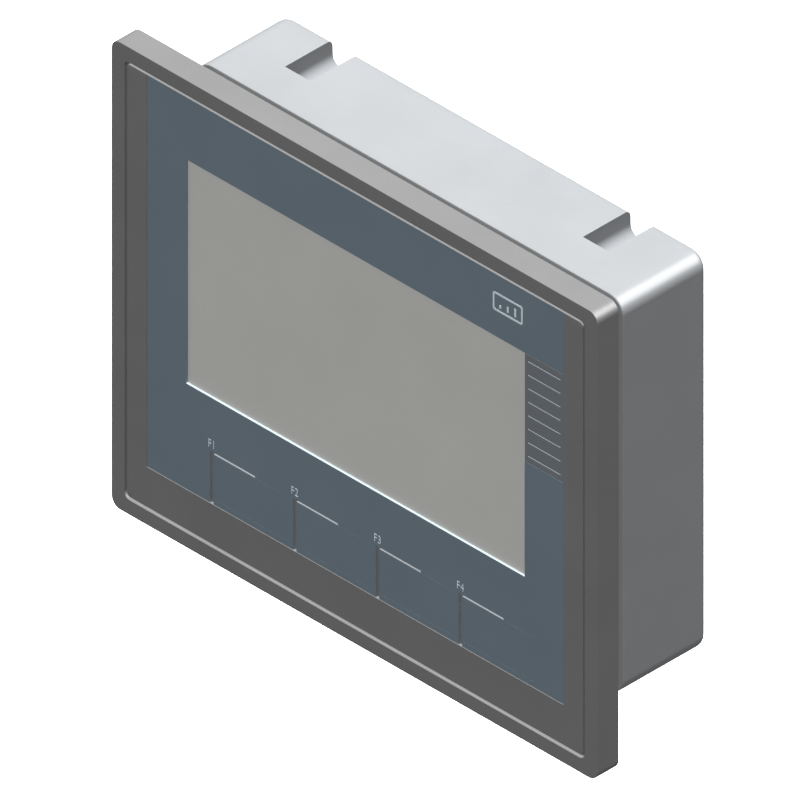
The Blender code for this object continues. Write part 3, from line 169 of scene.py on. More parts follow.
# ---- screws and washer ----
CROSS_ARM = 0.26                 # width of a cross recess as a share of its length
CROSS_REACH = 0.5                # recess half-length as a share of the head's radius
CROSS_DEPTH = 0.6                # recess depth as a share of the head's height
THREAD_ROOT = 0.82               # thread root as a share of the shank's radius
THREAD_RISE = 0.45               # crest after the root, as a share of the pitch
HEAD_DOME = (0, 25, 50, 70)      # degrees round the head's edge
HEAD_FLAT = 0.25                 # share of the head's radius that its dome leaves out
HEAD_RIM = 0.35                  # upright rim as a share of the head's height
TURNED_SIDES = 28
WASHER_TEETH = 16
TOOTH_DEPTH = 0.7
CLAMP_SLOT_HALF = 0.24
CLAMP_SLOT_DEPTH = 0.8

# ---- ports ----
PORT_GAP = 0.3
PLUG_CORNER = 0.6
PLUG_GAP = 0.6
POLE_HALF_PITCH = 2.54
WIRE_OFFSET = 2.8
CLAMP_OFFSET = -3.0
WIRE_RADIUS = 1.9
CLAMP_WELL_RADIUS = 1.9
CLAMP_WELL_DEPTH = 5.0
FUNNEL_FLARE = 0.3
FUNNEL_DEPTH = 0.4
PIN_HOLE_RADIUS = 0.95
PIN_HOLE_DEPTH = 6.5
GRIP_RIBS = 5
GRIP_PITCH = 1.6
GRIP_PROUD = 0.22
GRIP_HALF = 0.3
PARTING_HALF = 0.15
PARTING_DEPTH = 0.25
JACK_MOUTH = (11.8, 8.0)
JACK_MOUTH_OFFSET = 2.6
JACK_MOUTH_DEPTH = 13.0
JACK_LATCH = (6.4, 1.8)
JACK_LINER = 0.45
JACK_CONTACTS = 8
JACK_PITCH = 1.02
JACK_SPRINGS = (4.0, 9.0)        # spring windows, from the port's mouth
JACK_SPRING_SIZE = (0.15, 1.6, 3.4)
JACK_EASE = 0.18
WIRE_HALF = 0.22
USB_WALL = 0.5
USB_MOUTH_DEPTH = 9.5
USB_CONTACTS = 4
USB_PITCH = 2.3
USB_SPRING_OFFSET = 3.0
USB_SPRING_HALF = 0.8
USB_WINDOW_HALF = 1.1
USB_EASE = 0.15

OVERSHOOT = 1.0                  # how far a cutter passes the face it opens
EMBED = 0.6                      # how far an added feature sinks into its wall
HAIRLINE = 0.03                  # left between parts that meet
SLACK = 0.01                     # allowed when a face is picked out by its place
SIDES = (-1, 1)
KEYS = range(1, 5)
CORNERS = range(1, 5)            # screws and posts are numbered by corner


# ---- outlines ----
def rounded(low, high, radius, steps=6):
    """Counter-clockwise rectangle between two corners, each corner an arc."""
    centres = (
        (high[0] - radius, low[1] + radius),
        (high[0] - radius, high[1] - radius),
        (low[0] + radius, high[1] - radius),
        (low[0] + radius, low[1] + radius),
    )
    points = []
    for quarter, (centre_u, centre_v) in enumerate(centres):
        for step in range(steps + 1):
            angle = math.pi / 2 * (quarter - 1 + step / steps)
            points.append((centre_u + radius * math.cos(angle), centre_v + radius * math.sin(angle)))
    return points


def square(low, high):
    return [(low[0], low[1]), (high[0], low[1]), (high[0], high[1]), (low[0], high[1])]


def circle(centre, radius, sides=32):
    angles = [2 * math.pi * side / sides for side in range(sides)]
    return [(centre[0] + radius * math.cos(a), centre[1] + radius * math.sin(a)) for a in angles]


def eased(profile):
    """Profile whose corners become arcs; a point is (inset, along, corner radius, easing)."""
    smooth = [profile[0][:3]]
    for before, here, after in zip(profile, profile[1:], profile[2:]):
        easing = here[3]
        if not easing:
            smooth.append(here[:3])
            continue
        spot = Vector(here[:2])
        start = spot + (Vector(before[:2]) - spot).normalized() * easing
        end = spot + (Vector(after[:2]) - spot).normalized() * easing
        steps = max(3, math.ceil(easing * 5))
        for step in range(steps + 1):
            share = step / steps
            bend = start * (1 - share) ** 2 + spot * 2 * share * (1 - share) + end * share ** 2
            smooth.append((bend.x, bend.y, here[2] - (bend.x - here[0])))
    smooth.append(profile[-1][:3])
    return smooth


def loops(low, high, profile):
    """Sections of a rounded rectangle that follow a profile of insets."""
    sections = []
    for inset, along, corner in eased(profile):
        inner_low = (low[0] + inset, low[1] + inset)
        inner_high = (high[0] - inset, high[1] - inset)
        sections.append((along, rounded(inner_low, inner_high, max(corner, 0.05))))
    return sections


# ---- bodies ----
def place(pair, along, axis):
    """Outline point and distance along an axis, as a position in metres."""
    spots = {
        "X": (along, pair[0], pair[1]),
        "Y": (pair[0], along, pair[1]),
        "Z": (pair[0], pair[1], along),
    }
    return Vector(spots[axis]) * MM


def new_object(name, bm):
    bmesh.ops.recalc_face_normals(bm, faces=bm.faces)
    mesh = bpy.data.meshes.new(name)
    bm.to_mesh(mesh)
    bm.free()
    piece = bpy.data.objects.new(name, mesh)
    bpy.context.scene.collection.objects.link(piece)
    return piece


def body_through(name, sections, axis="Y", ring=False):
    """Body through outlines of equal point count, capped at its ends or joined into a ring."""
    bm = bmesh.new()
    rows = [[bm.verts.new(place(pair, along, axis)) for pair in outline] for along, outline in sections]
    following = rows[1:] + rows[:1] if ring else rows[1:]
    for first, second in zip(rows, following):
        for index in range(len(first)):
            ahead = (index + 1) % len(first)
            bm.faces.new((first[index], first[ahead], second[ahead], second[index]))
    if not ring:
        bm.faces.new(rows[0])
        bm.faces.new(rows[-1])
    return new_object(name, bm)


def prism(name, outline, low, high, axis="Y"):
    return body_through(name, [(low, outline), (high, outline)], axis)


def block(name, low, high):
    """Box between two corners given as (x, y, z)."""
    return prism(name, square((low[0], low[2]), (high[0], high[2])), low[1], high[1])


def turned(name, centre, profile, axis="Y", sides=32):
    """Turned body; the profile is (radius, along) from end to end."""
    return body_through(name, [(along, circle(centre, radius, sides)) for radius, along in profile], axis)


def carve(piece, add=(), remove=()):
    """Joins and cuts with exact Booleans, then keeps the result as the piece's own mesh."""
    tools = [(tool, "UNION") for tool in add] + [(tool, "DIFFERENCE") for tool in remove]
    for tool, operation in tools:
        modifier = piece.modifiers.new(tool.name, "BOOLEAN")
        modifier.operation = operation
        modifier.solver = "EXACT"
        modifier.object = tool
    depsgraph = bpy.context.evaluated_depsgraph_get()
    mesh = bpy.data.meshes.new_from_object(piece.evaluated_get(depsgraph))
    piece.modifiers.clear()
    piece.data = mesh
    for tool, _ in tools:
        bpy.data.objects.remove(tool)
    return piece


def merged(name, parts):
    """One object from several separate bodies."""
    bm = bmesh.new()
    for part in parts:
        bm.from_mesh(part.data)
        bpy.data.objects.remove(part)
    return new_object(name, bm)


def soften(piece, width, angle=50):
    """Small radius on every edge sharper than the angle."""
    bevel = piece.modifiers.new("eased_edges", "BEVEL")
    bevel.width = width * MM
    bevel.segments = 2
    bevel.limit_method = "ANGLE"
    bevel.angle_limit = math.radians(angle)
    bevel.miter_outer = "MITER_ARC"
    bevel.use_clamp_overlap = True


def finished(piece, name, body, surfaces, stands_for=()):
    """Names a piece, gives it its finish and shading, and puts it on its CAD body."""
    piece.name = name
    piece.data.name = name
    while len(piece.data.materials) < len(surfaces):
        piece.data.materials.append(None)
    for index, surface in enumerate(surfaces):
        piece.data.materials[index] = surface
    piece.data.shade_smooth()
    piece.data.set_sharp_from_angle(angle=math.radians(38))
    weighted = piece.modifiers.new("flat_faces", "WEIGHTED_NORMAL")
    weighted.keep_sharp = True
    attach(piece, body)
    if stands_for:
        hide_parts(*stands_for)
    return piece


def box_mm(node):
    """Lowest and highest corner of a CAD node, in millimetres."""
    low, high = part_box(node)
    return low / MM, high / MM


def centre_mm(node):
    low, high = box_mm(node)
    return (low + high) / 2


# ---- materials ----
def linear(hex_colour):
    """sRGB hex as linear red, green, blue and alpha."""
    values = []
    for start in (1, 3, 5):
        channel = int(hex_colour[start:start + 2], 16) / 255
        values.append(channel / 12.92 if channel <= 0.04045 else ((channel + 0.055) / 1.055) ** 2.4)
    return (*values, 1.0)


def add_node(tree, kind, settings=(), links=()):
    """Adds a node, sets its properties and inputs, and links it; a link is (input, node, output)."""
    node = tree.nodes.new(kind)
    for name, value in settings:
        if isinstance(name, int) or name in node.inputs:
            node.inputs[name].default_value = value
        else:
            setattr(node, name, value)
    for name, source, output in links:
        tree.links.new(source.outputs[output], node.inputs[name])
    return node


def base_surface(name, roughness, metallic=0.0, ior=None, coat=0.0):
    material = bpy.data.materials.new(name)
    material.use_nodes = True
    shader = material.node_tree.nodes["Principled BSDF"]
    shader.inputs["Roughness"].default_value = roughness
    shader.inputs["Metallic"].default_value = metallic
    if ior:
        shader.inputs["IOR"].default_value = ior
    if coat:
        shader.inputs["Coat Weight"].default_value = coat
        shader.inputs["Coat Roughness"].default_value = 0.12
    return material, material.node_tree, shader


def per_metre(size_mm):
    """Noise scale that gives features of a size."""
    return 1 / (size_mm * MM)


def textured(name, light, dark, grain, depth, roughness, metallic=0.0, ior=None, coat=0.0,
             stretch=(1, 1, 1), cloud=18.0):
    """Surface with a fine grain in its relief and gloss, and a broad drift between two colours.

    grain and cloud are feature sizes and depth is the relief, all in millimetres; stretch
    divides the grain's length along an axis, for brushed, rolled and extruded surfaces."""
    material, tree, shader = base_surface(name, sum(roughness) / 2, metallic, ior, coat)
    spot = add_node(tree, "ShaderNodeTexCoord")
    laid = add_node(tree, "ShaderNodeMapping", [("Scale", stretch)], [("Vector", spot, "Object")])
    fine = add_node(tree, "ShaderNodeTexNoise",
                    [("Scale", per_metre(grain)), ("Detail", 3.0), ("Roughness", 0.6)],
                    [("Vector", laid, "Vector")])
    broad = add_node(tree, "ShaderNodeTexNoise", [("Scale", per_metre(cloud)), ("Detail", 2.0)],
                     [("Vector", spot, "Object")])
    share = add_node(tree, "ShaderNodeMath", [("operation", "MULTIPLY_ADD"), (1, 0.5)],
                     [(0, fine, "Fac"), (2, broad, "Fac")])
    spread = add_node(tree, "ShaderNodeMapRange", [("From Min", 0.45), ("From Max", 1.05)],
                      [("Value", share, "Value")])
    tint = add_node(tree, "ShaderNodeMix",
                    [("data_type", "RGBA"), (6, linear(dark)), (7, linear(light))],
                    [(0, spread, "Result")])
    gloss = add_node(tree, "ShaderNodeMapRange",
                     [("From Min", 0.3), ("From Max", 0.7),
                      ("To Min", roughness[0]), ("To Max", roughness[1])],
                     [("Value", fine, "Fac")])
    relief = add_node(tree, "ShaderNodeBump", [("Strength", 1.0), ("Distance", depth * MM)],
                      [("Height", fine, "Fac")])
    tree.links.new(tint.outputs[2], shader.inputs["Base Color"])
    tree.links.new(gloss.outputs["Result"], shader.inputs["Roughness"])
    tree.links.new(relief.outputs["Normal"], shader.inputs["Normal"])
    return material


def circuit_laminate():
    """Glass-epoxy board under green solder resist: lighter copper tracks show through."""
    material, tree, shader = base_surface("glass_epoxy_board", 0.35, ior=1.55, coat=0.3)
    spot = add_node(tree, "ShaderNodeTexCoord")
    tracks = add_node(tree, "ShaderNodeTexVoronoi",
                      [("feature", "DISTANCE_TO_EDGE"), ("Scale", per_metre(4.0))],
                      [("Vector", spot, "Object")])
    line = add_node(tree, "ShaderNodeMapRange", [("From Min", 0.03), ("From Max", 0.06)],
                    [("Value", tracks, "Distance")])
    tint = add_node(tree, "ShaderNodeMix",
                    [("data_type", "RGBA"), (6, linear("#2f8a52")), (7, linear("#14562f"))],
                    [(0, line, "Result")])
    relief = add_node(tree, "ShaderNodeBump",
                      [("Strength", 0.6), ("Distance", 0.035 * MM), ("invert", True)],
                      [("Height", line, "Result")])
    tree.links.new(tint.outputs[2], shader.inputs["Base Color"])
    tree.links.new(relief.outputs["Normal"], shader.inputs["Normal"])
    return material


def flat_cable_film():
    """Amber polyimide film: half-millimetre copper conductors show as paler stripes."""
    material, tree, shader = base_surface("polyimide_film", 0.25, ior=1.7, coat=0.4)
    spot = add_node(tree, "ShaderNodeTexCoord")
    stripes = add_node(tree, "ShaderNodeTexWave",
                       [("bands_direction", "X"), ("Scale", per_metre(1.0) / 20), ("Distortion", 0.0)],
                       [("Vector", spot, "Object")])
    tint = add_node(tree, "ShaderNodeMix",
                    [("data_type", "RGBA"), (6, linear("#7a3a0e")), (7, linear("#cf8432"))],
                    [(0, stripes, "Fac")])
    relief = add_node(tree, "ShaderNodeBump", [("Strength", 0.5), ("Distance", 0.02 * MM)],
                      [("Height", stripes, "Fac")])
    tree.links.new(tint.outputs[2], shader.inputs["Base Color"])
    tree.links.new(relief.outputs["Normal"], shader.inputs["Normal"])
    return material


# Spark-eroded mould surfaces have a grain near 0.05 mm; it is drawn at 0.5 mm so that it shows.
MOULD_GRAIN = 0.5

FINISHES = {
    # glass-filled polycarbonate from an eroded mould: dark grey, satin, faintly speckled
    "bezel": textured("glass_filled_polycarbonate", "#646464", "#5f5f5f", MOULD_GRAIN, 0.006,
                      (0.36, 0.5), ior=1.58),
    # ABS blend from the same kind of mould: pale cool grey, soft highlight along its radii
    "housing": textured("satin_abs_blend", "#7e8082", "#797b7d", MOULD_GRAIN, 0.006, (0.3, 0.42), ior=1.54),
    # the same plastic as the bezel in a cooler tint: marks the relief strip off from the frame
    "insert": textured("tinted_polycarbonate_insert", "#60656a", "#5b6064", MOULD_GRAIN, 0.006,
                       (0.36, 0.5), ior=1.58),
    # housing plastic left rough by the slides that form its notches: no highlight in them
    "slide": textured("slide_formed_abs_blend", "#7e8082", "#797b7d", MOULD_GRAIN, 0.01,
                      (0.8, 0.9), ior=1.2),
    # polyester membrane with a velvet emboss over slate-blue ink: even, slightly silky
    "foil": textured("velvet_polyester_foil", "#5b6974", "#576570", 0.4, 0.004, (0.4, 0.52), ior=1.6),
    # clear-backed grey under the membrane, seen where its marks are cut: cool and flat
    "mark": textured("grey_mark_backing", "#696c6f", "#64676a", 0.4, 0.004, (0.45, 0.55), ior=1.5),
    # cut edge of the clear polyester and its adhesive: milky, made paler as a painted highlight; only the
    # up-facing wall under the window gets it
    "foil_edge_highlight": textured("clear_polyester_painted_highlight_edge", "#8f9799", "#8a9294", 0.4, 0.003, (0.3, 0.4), ior=1.6),
    # anti-glare hard coat over the touch glass: neutral grey when the display is off
    "touch": textured("anti_glare_hard_coat", "#acaca9", "#a8a8a5", 0.4, 0.003, (0.34, 0.44), ior=1.5),
    # screen-printed ink, slightly raised: pale and matt
    "ink": textured("screen_printed_ink", "#c2ccd2", "#b4bfc6", 0.3, 0.002, (0.5, 0.6), ior=1.5),
    # grey ink used for rules on the type plate
    "plate_ink": textured("grey_plate_ink", "#3b3f43", "#33373b", 0.3, 0.002, (0.5, 0.6), ior=1.5),
    # silicone seal: matt black with a dusty bloom
    "rubber": textured("moulded_silicone", "#232426", "#1a1b1c", 0.6, 0.01, (0.65, 0.8), ior=1.41),
    # zinc-plated screw steel: cool grey, turned rings
    "screw": textured("zinc_plated_steel", "#c4c8cc", "#a4a8ad", 0.25, 0.004, (0.25, 0.4), 1.0,
                      stretch=(1, 1, 3)),
    # cold-rolled sheet: long rolling lines along X
    "sheet": textured("cold_rolled_sheet_steel", "#c6c7c6", "#adafae", 0.5, 0.004, (0.28, 0.42), 1.0,
                      stretch=(0.06, 1, 1)),
    # spring steel domes: bright and hard
    "dome": textured("dome_spring_steel", "#cfd0d0", "#b8baba", 0.3, 0.002, (0.18, 0.3), 1.0),
    # cast acrylic light guide: milky where its dots scatter light
    "acrylic": textured("cast_acrylic", "#f2f5f2", "#e2e8e3", 0.7, 0.004, (0.1, 0.2), ior=1.49),
    # display cell: near-black glass with a smoky drift
    "cell": textured("display_cell_glass", "#25292b", "#1b1f21", 1.0, 0.001, (0.05, 0.1), ior=1.52),
    # phosphor-coated light strip: warm cream
    "phosphor": textured("phosphor_light_strip", "#efe6b8", "#ddd09a", 0.8, 0.01, (0.45, 0.55), ior=1.5),
    # epoxy chip packages: black with a fine sparkle of filler
    "resin": textured("moulded_epoxy_resin", "#26272a", "#1c1d1f", 0.25, 0.006, (0.45, 0.6), ior=1.55),
    # nickel-plated brass: warm grey metal
    "brass": textured("nickel_plated_brass", "#d6cfb8", "#bfb79d", 0.3, 0.003, (0.2, 0.32), 1.0),
    # extruded aluminium: drawing lines along Z
    "aluminium": textured("extruded_aluminium", "#d9dadb", "#c2c3c5", 0.3, 0.008, (0.3, 0.45), 1.0,
                          stretch=(1, 1, 0.05)),
    # shrink sleeve: glossy dark blue
    "sleeve": textured("shrink_sleeve", "#1f3766", "#182c52", 0.8, 0.01, (0.18, 0.28), ior=1.53),
    # natural nylon: ivory
    "nylon": textured("natural_nylon", "#e4dfcf", "#d5cfbc", MOULD_GRAIN, 0.006, (0.4, 0.5), ior=1.53),
    # green polyamide terminal: satin, slightly waxy
    "green": textured("green_polyamide", "#2f8f4e", "#287f43", MOULD_GRAIN, 0.006, (0.38, 0.48), ior=1.53),
    # black polyamide: satin
    "black": textured("black_polyamide", "#2a2b2c", "#202122", MOULD_GRAIN, 0.006, (0.4, 0.52), ior=1.53),
    # tin-plated port shells: bright, with faint handling marks
    "tin": textured("tin_plated_shell", "#d3d5d6", "#bcbfc1", 0.8, 0.004, (0.2, 0.34), 1.0),
    # gold flash on contacts
    "gold": textured("gold_flash", "#e8c878", "#d9b55e", 0.3, 0.001, (0.15, 0.25), 1.0),
    # metallised polyester type plate: matt silver
    "silver": textured("metallised_polyester", "#c9cccf", "#bcbfc2", 0.35, 0.003, (0.35, 0.48), 0.6),
    "laminate": circuit_laminate(),
    "film": flat_cable_film(),
}


def finish_of(*names):
    return [FINISHES[name] for name in names]


# ---- front ----
def bezel_moulding():
    low, high = box_mm("front_bezel")
    front = low.y
    field = front + FIELD_RECESS
    floor = front + GROOVE_DEPTH
    island = GROOVE_INSET + GROOVE_WIDTH
    island_corner = GROOVE_CORNER - GROOVE_WIDTH
    seal_low, _ = box_mm("mounting_seal")
    seal_outer = seal_low.x - low.x - SEAL_GAP
    seal_inner = seal_outer + SEAL_WIDTH + SEAL_GAP * 2
    seal_floor = seal_low.y - SEAL_GAP
    profile = [
        (island + 2, field, 0.5, 0),
        (island, field, island_corner, LIP_EASE),
        (island, floor, island_corner, LIP_EASE),
        (GROOVE_INSET, floor, GROOVE_CORNER, LIP_EASE),
        (GROOVE_INSET, front, GROOVE_CORNER, LIP_EASE),
        (0, front, BEZEL_CORNER, BEZEL_FRONT_EASE),
        (0, MOUNT_PLANE, BEZEL_CORNER, BEZEL_REAR_EASE),
        (seal_outer, MOUNT_PLANE, HOUSING_CORNER, LIP_EASE),
        (seal_outer, seal_floor, HOUSING_CORNER, 0),
        (seal_inner, seal_floor, HOUSING_CORNER, 0),
        (seal_inner, MOUNT_PLANE, HOUSING_CORNER, LIP_EASE),
        (COLLAR_INSET, MOUNT_PLANE, COLLAR_CORNER, LIP_EASE),
        (COLLAR_INSET, COLLAR_END, COLLAR_CORNER, LIP_EASE),
        (LIP_INSET, COLLAR_END, LIP_CORNER, 0),
        (LIP_INSET, high.y, LIP_CORNER, LIP_EASE),
        (INNER_INSET, high.y, INNER_CORNER, 0),
        (INNER_INSET, WALL_BACK, INNER_CORNER, 0),
        (INNER_INSET + 2, WALL_BACK, INNER_CORNER, 0),
    ]
    shell = body_through("bezel", loops((low.x, low.z), (high.x, high.z), profile))
    foil_low, foil_high = box_mm("front_overlay")
    touch_low, touch_high = box_mm("touch_sensor")
    pocket_floor = touch_low.y
    pocket = square((foil_low.x - POCKET_GAP, foil_low.z - POCKET_GAP),
                    (foil_high.x + POCKET_GAP, foil_high.z - POCKET_TOP_LAND))
    opening = square((touch_low.x - POCKET_GAP, touch_low.z - POCKET_GAP),
                     (touch_high.x + POCKET_GAP, touch_high.z + POCKET_GAP))
    cutters = [prism("pocket", pocket, front - OVERSHOOT, pocket_floor)]
    cutters.append(prism("opening", opening, front - OVERSHOOT, WALL_BACK + OVERSHOOT))
    for outline in key_holes(KEY_GAP):
        cutters.append(prism("key_hole", outline, front - OVERSHOOT, WALL_BACK + OVERSHOOT))
    added = []
    carrier_low, _ = box_mm("carrier_plate")
    for number in CORNERS:
        boss = centre_mm(f"cover_screw_{number}")
        post = centre_mm(f"carrier_screw_{number}")
        screw_low, _ = box_mm(f"cover_screw_{number}")
        pin_low, _ = box_mm(f"carrier_screw_{number}")
        added.append(prism("boss", circle((boss.x, boss.z), BOSS_RADIUS), WALL_BACK - EMBED,
                           high.y - PILOT_GAP))
        added.append(prism("post", circle((post.x, post.z), POST_RADIUS), WALL_BACK - EMBED,
                           carrier_low.y - POCKET_GAP))
        cutters.append(prism("pilot", circle((boss.x, boss.z), SCREW_HOLE_RADIUS),
                             screw_low.y - PILOT_GAP, high.y + OVERSHOOT))
        cutters.append(prism("pilot", circle((post.x, post.z), PILOT_RADIUS), pin_low.y - PILOT_GAP,
                             carrier_low.y + OVERSHOOT))
    carve(shell, added, cutters)
    return finished(shell, "bezel_moulding", "panel", finish_of("bezel"), ["front_bezel"])


def key_holes(gap):
    """Outlines of the four openings that the keys move in."""
    outlines = []
    for number in KEYS:
        low, high, _ = key_field(number)
        outlines.append(square((low[0] - gap, low[1] - gap), (high[0] + gap, high[1] + gap)))
    return outlines


def key_field(number):
    """Corners of a key's touched face in X and Z, and the key's box."""
    low, high = box_mm(f"function_key_{number}")
    return (low.x, low.z + KEY_TAB), (high.x, high.z - KEY_TAB), (low, high)


def membrane_foil():
    low, high = box_mm("front_overlay")
    back = high.y + FOIL_BACKING
    outline_low = (low.x - FOIL_SPREAD, low.z - FOIL_SPREAD)
    outline_high = (high.x + FOIL_SPREAD, high.z - POCKET_TOP_LAND * 2)
    foil = prism("foil", square(outline_low, outline_high), low.y, back)
    window = square((-WINDOW_HALF_WIDTH, WINDOW_LOW), (WINDOW_HALF_WIDTH, WINDOW_HIGH))
    strip = square((WINDOW_HALF_WIDTH - 0.05, STRIP_LOW), (outline_high[0] + OVERSHOOT, STRIP_HIGH))
    cutters = [prism("window", window, low.y - OVERSHOOT, back + OVERSHOOT)]
    cutters.append(prism("strip", strip, low.y - OVERSHOOT, back + OVERSHOOT))
    mark_floor = low.y + MARK_DEPTH
    for hole, (left, level) in zip(key_holes(KEY_SPREAD + KEY_SLIT), mark_corners()):
        cutters.append(prism("key_hole", hole, low.y - OVERSHOOT, back + OVERSHOOT))
        leg = square((left - MARK_LEG_WIDTH, low.z - OVERSHOOT), (left, level + MARK_BAR_WIDTH))
        bar = square((left - MARK_LEG_WIDTH / 2, level),
                     (left + MARK_BAR_LENGTH, level + MARK_BAR_WIDTH))
        for shape in (leg, bar):
            cutters.append(prism("mark", shape, low.y - OVERSHOOT, mark_floor))
    carve(foil, remove=cutters)
    finished(foil, "membrane_foil", "panel", finish_of("foil", "foil_edge_highlight", "mark"),
             ["front_overlay"])
    for face in foil.data.polygons:
        centre = face.center / MM
        # the up-facing wall along the window's lower edge gets the paler edge colour: a painted highlight
        # where the top light falls, while the other cut walls keep the foil's colour
        if abs(centre.z - WINDOW_LOW) < SLACK and abs(face.normal.z) > 0.9:
            face.material_index = 1
        if low.y + SLACK < centre.y < mark_floor + SLACK and in_mark(centre):
            face.material_index = 2
    return foil


def mark_corners():
    """Upper right corner of each mark's leg, which is also the left end of its bar."""
    upper_left = [hole[3] for hole in key_holes(KEY_GAP)]
    return [(across - MARK_LEG_GAP, up - MARK_BAR_WIDTH / 4) for across, up in upper_left]


def in_mark(spot):
    """True where a point lies within one of the L-shaped marks."""
    for left, level in mark_corners():
        top = level + MARK_BAR_WIDTH + SLACK
        in_leg = left - MARK_LEG_WIDTH - SLACK < spot.x < left + SLACK and spot.z < top
        in_bar = left < spot.x < left + MARK_BAR_LENGTH + SLACK and level - SLACK < spot.z < top
        if in_leg or in_bar:
            return True
    return False


def relief_strip():
    """Grey insert beside the display with level ribs across it."""
    foil_low, foil_high = box_mm("front_overlay")
    touch_low, _ = box_mm("touch_sensor")
    low = (STRIP_LEFT + HAIRLINE, STRIP_LOW + HAIRLINE)
    high = (foil_high.x + FOIL_SPREAD, STRIP_HIGH - HAIRLINE)
    insert = prism("insert", square(low, high), foil_low.y, touch_low.y - 0.02)
    pitch = (high[1] - low[1]) / STRIP_RIBS
    grooves = []
    for rib in range(STRIP_RIBS):
        middle = low[1] + pitch * (rib + 0.5)
        outline = rounded((low[0] + STRIP_RIB_INSET, middle - STRIP_RIB_WIDTH / 2),
                          (high[0] - STRIP_RIB_INSET, middle + STRIP_RIB_WIDTH / 2), STRIP_RIB_WIDTH * 0.45)
        grooves.append(prism("rib", outline, foil_low.y - OVERSHOOT, foil_low.y + STRIP_RIB_DEPTH))
    carve(insert, remove=grooves)
    return finished(insert, "relief_strip", "panel", finish_of("insert"))


def function_key_caps():
    for number in KEYS:
        face_low, face_high, (low, high) = key_field(number)
        tab_front = WALL_BACK + POCKET_GAP
        tab_back = tab_front + KEY_TAB_THICKNESS
        outline = square((face_low[0] - KEY_SPREAD, face_low[1] - KEY_SPREAD),
                         (face_high[0] + KEY_SPREAD, face_high[1] + KEY_SPREAD))
        cap = prism("cap", outline, low.y, tab_front + KEY_TAB_THICKNESS / 2)
        tabs = prism("tabs", square((low.x + KEY_TAB, low.z), (high.x - KEY_TAB, high.z)),
                     tab_front, tab_back)
        centre = ((low.x + high.x) / 2, (low.z + high.z) / 2)
        plunger = turned("plunger", centre, [(PLUNGER_RADIUS, tab_front + 0.2),
                                             (PLUNGER_RADIUS, high.y - LIP_EASE),
                                             (PLUNGER_RADIUS - LIP_EASE, high.y)])
        carve(cap, [tabs, plunger])
        finished(cap, f"function_key_cap_{number}", f"function_key_{number}",
                 finish_of("foil"), [f"function_key_{number}"])


def key_numbers():
    """Printed key numbers, F1 to F4, each above the left end of its key's bar."""
    foil_low, _ = box_mm("front_overlay")
    for number, (left, level) in enumerate(mark_corners(), 1):
        curve = bpy.data.curves.new("number", "FONT")
        curve.body = f"F{number}"
        curve.extrude = 0.01
        curve.offset = -LABEL_THINNING
        writer = bpy.data.objects.new("number", curve)
        bpy.context.scene.collection.objects.link(writer)
        depsgraph = bpy.context.evaluated_depsgraph_get()
        mesh = bpy.data.meshes.new_from_object(writer.evaluated_get(depsgraph))
        bpy.data.objects.remove(writer)
        tall = max(vertex.co.y for vertex in mesh.vertices)
        edge = min(vertex.co.x for vertex in mesh.vertices)
        scale = LABEL_HEIGHT / tall
        start = (left - MARK_LEG_WIDTH + LABEL_SHIFT, level + LABEL_RISE)
        for vertex in mesh.vertices:
            across = start[0] + (vertex.co.x - edge) * scale * LABEL_NARROWING
            up = start[1] + vertex.co.y * scale
            out = foil_low.y if vertex.co.z < 0 else foil_low.y - PRINT_THICKNESS
            vertex.co = place((across, up), out, "Y")
        label = bpy.data.objects.new("number", mesh)
        bpy.context.scene.collection.objects.link(label)
        finished(label, f"key_number_{number}", "panel", finish_of("ink"))


def ring_print(low, high, line, front):
    inner_low = (low[0] + line, low[1] + line)
    inner_high = (high[0] - line, high[1] - line)
    outer = rounded(low, high, line * 1.4)
    inner = rounded(inner_low, inner_high, line * 0.6)
    face = front - PRINT_THICKNESS
    sections = [(front, outer), (face, outer), (face, inner), (front, inner)]
    return body_through("ring", sections, ring=True)


def screen_pictogram():
    """Generic mark: a small screen outline with three bars in it."""
    foil_low, _ = box_mm("front_overlay")
    front = foil_low.y
    parts = [ring_print(PICTOGRAM_LOW, PICTOGRAM_HIGH, PICTOGRAM_LINE, front)]
    bar_pitch = (PICTOGRAM_HIGH[0] - PICTOGRAM_LOW[0]) / 4
    for bar in range(1, 4):
        middle = PICTOGRAM_LOW[0] + bar * bar_pitch
        top = PICTOGRAM_LOW[1] + PICTOGRAM_FIRST_TOP + PICTOGRAM_STEP * bar
        outline = square((middle - PICTOGRAM_LINE * 0.6, PICTOGRAM_LOW[1] + PICTOGRAM_FOOT),
                         (middle + PICTOGRAM_LINE * 0.6, top))
        parts.append(prism("bar", outline, front - PRINT_THICKNESS, front))
    return finished(merged("mark", parts), "screen_pictogram", "panel", finish_of("ink"))


def touch_window():
    low, high = box_mm("touch_sensor")
    profile = [(2.0, low.y, 0.3, 0), (0, low.y, 0.8, 0.1), (0, high.y, 0.8, 0.15),
               (2.0, high.y, 0.3, 0)]
    plate = body_through("plate", loops((low.x, low.z), (high.x, high.z), profile))
    edge = WINDOW_HALF_WIDTH - HAIRLINE
    field = square((-edge, WINDOW_LOW + HAIRLINE), (edge, WINDOW_HIGH - HAIRLINE))
    carve(plate, [prism("field", field, low.y - WINDOW_STEP, low.y + EMBED)])
    return finished(plate, "touch_window", "panel", finish_of("touch"),
                    ["touch_sensor"])


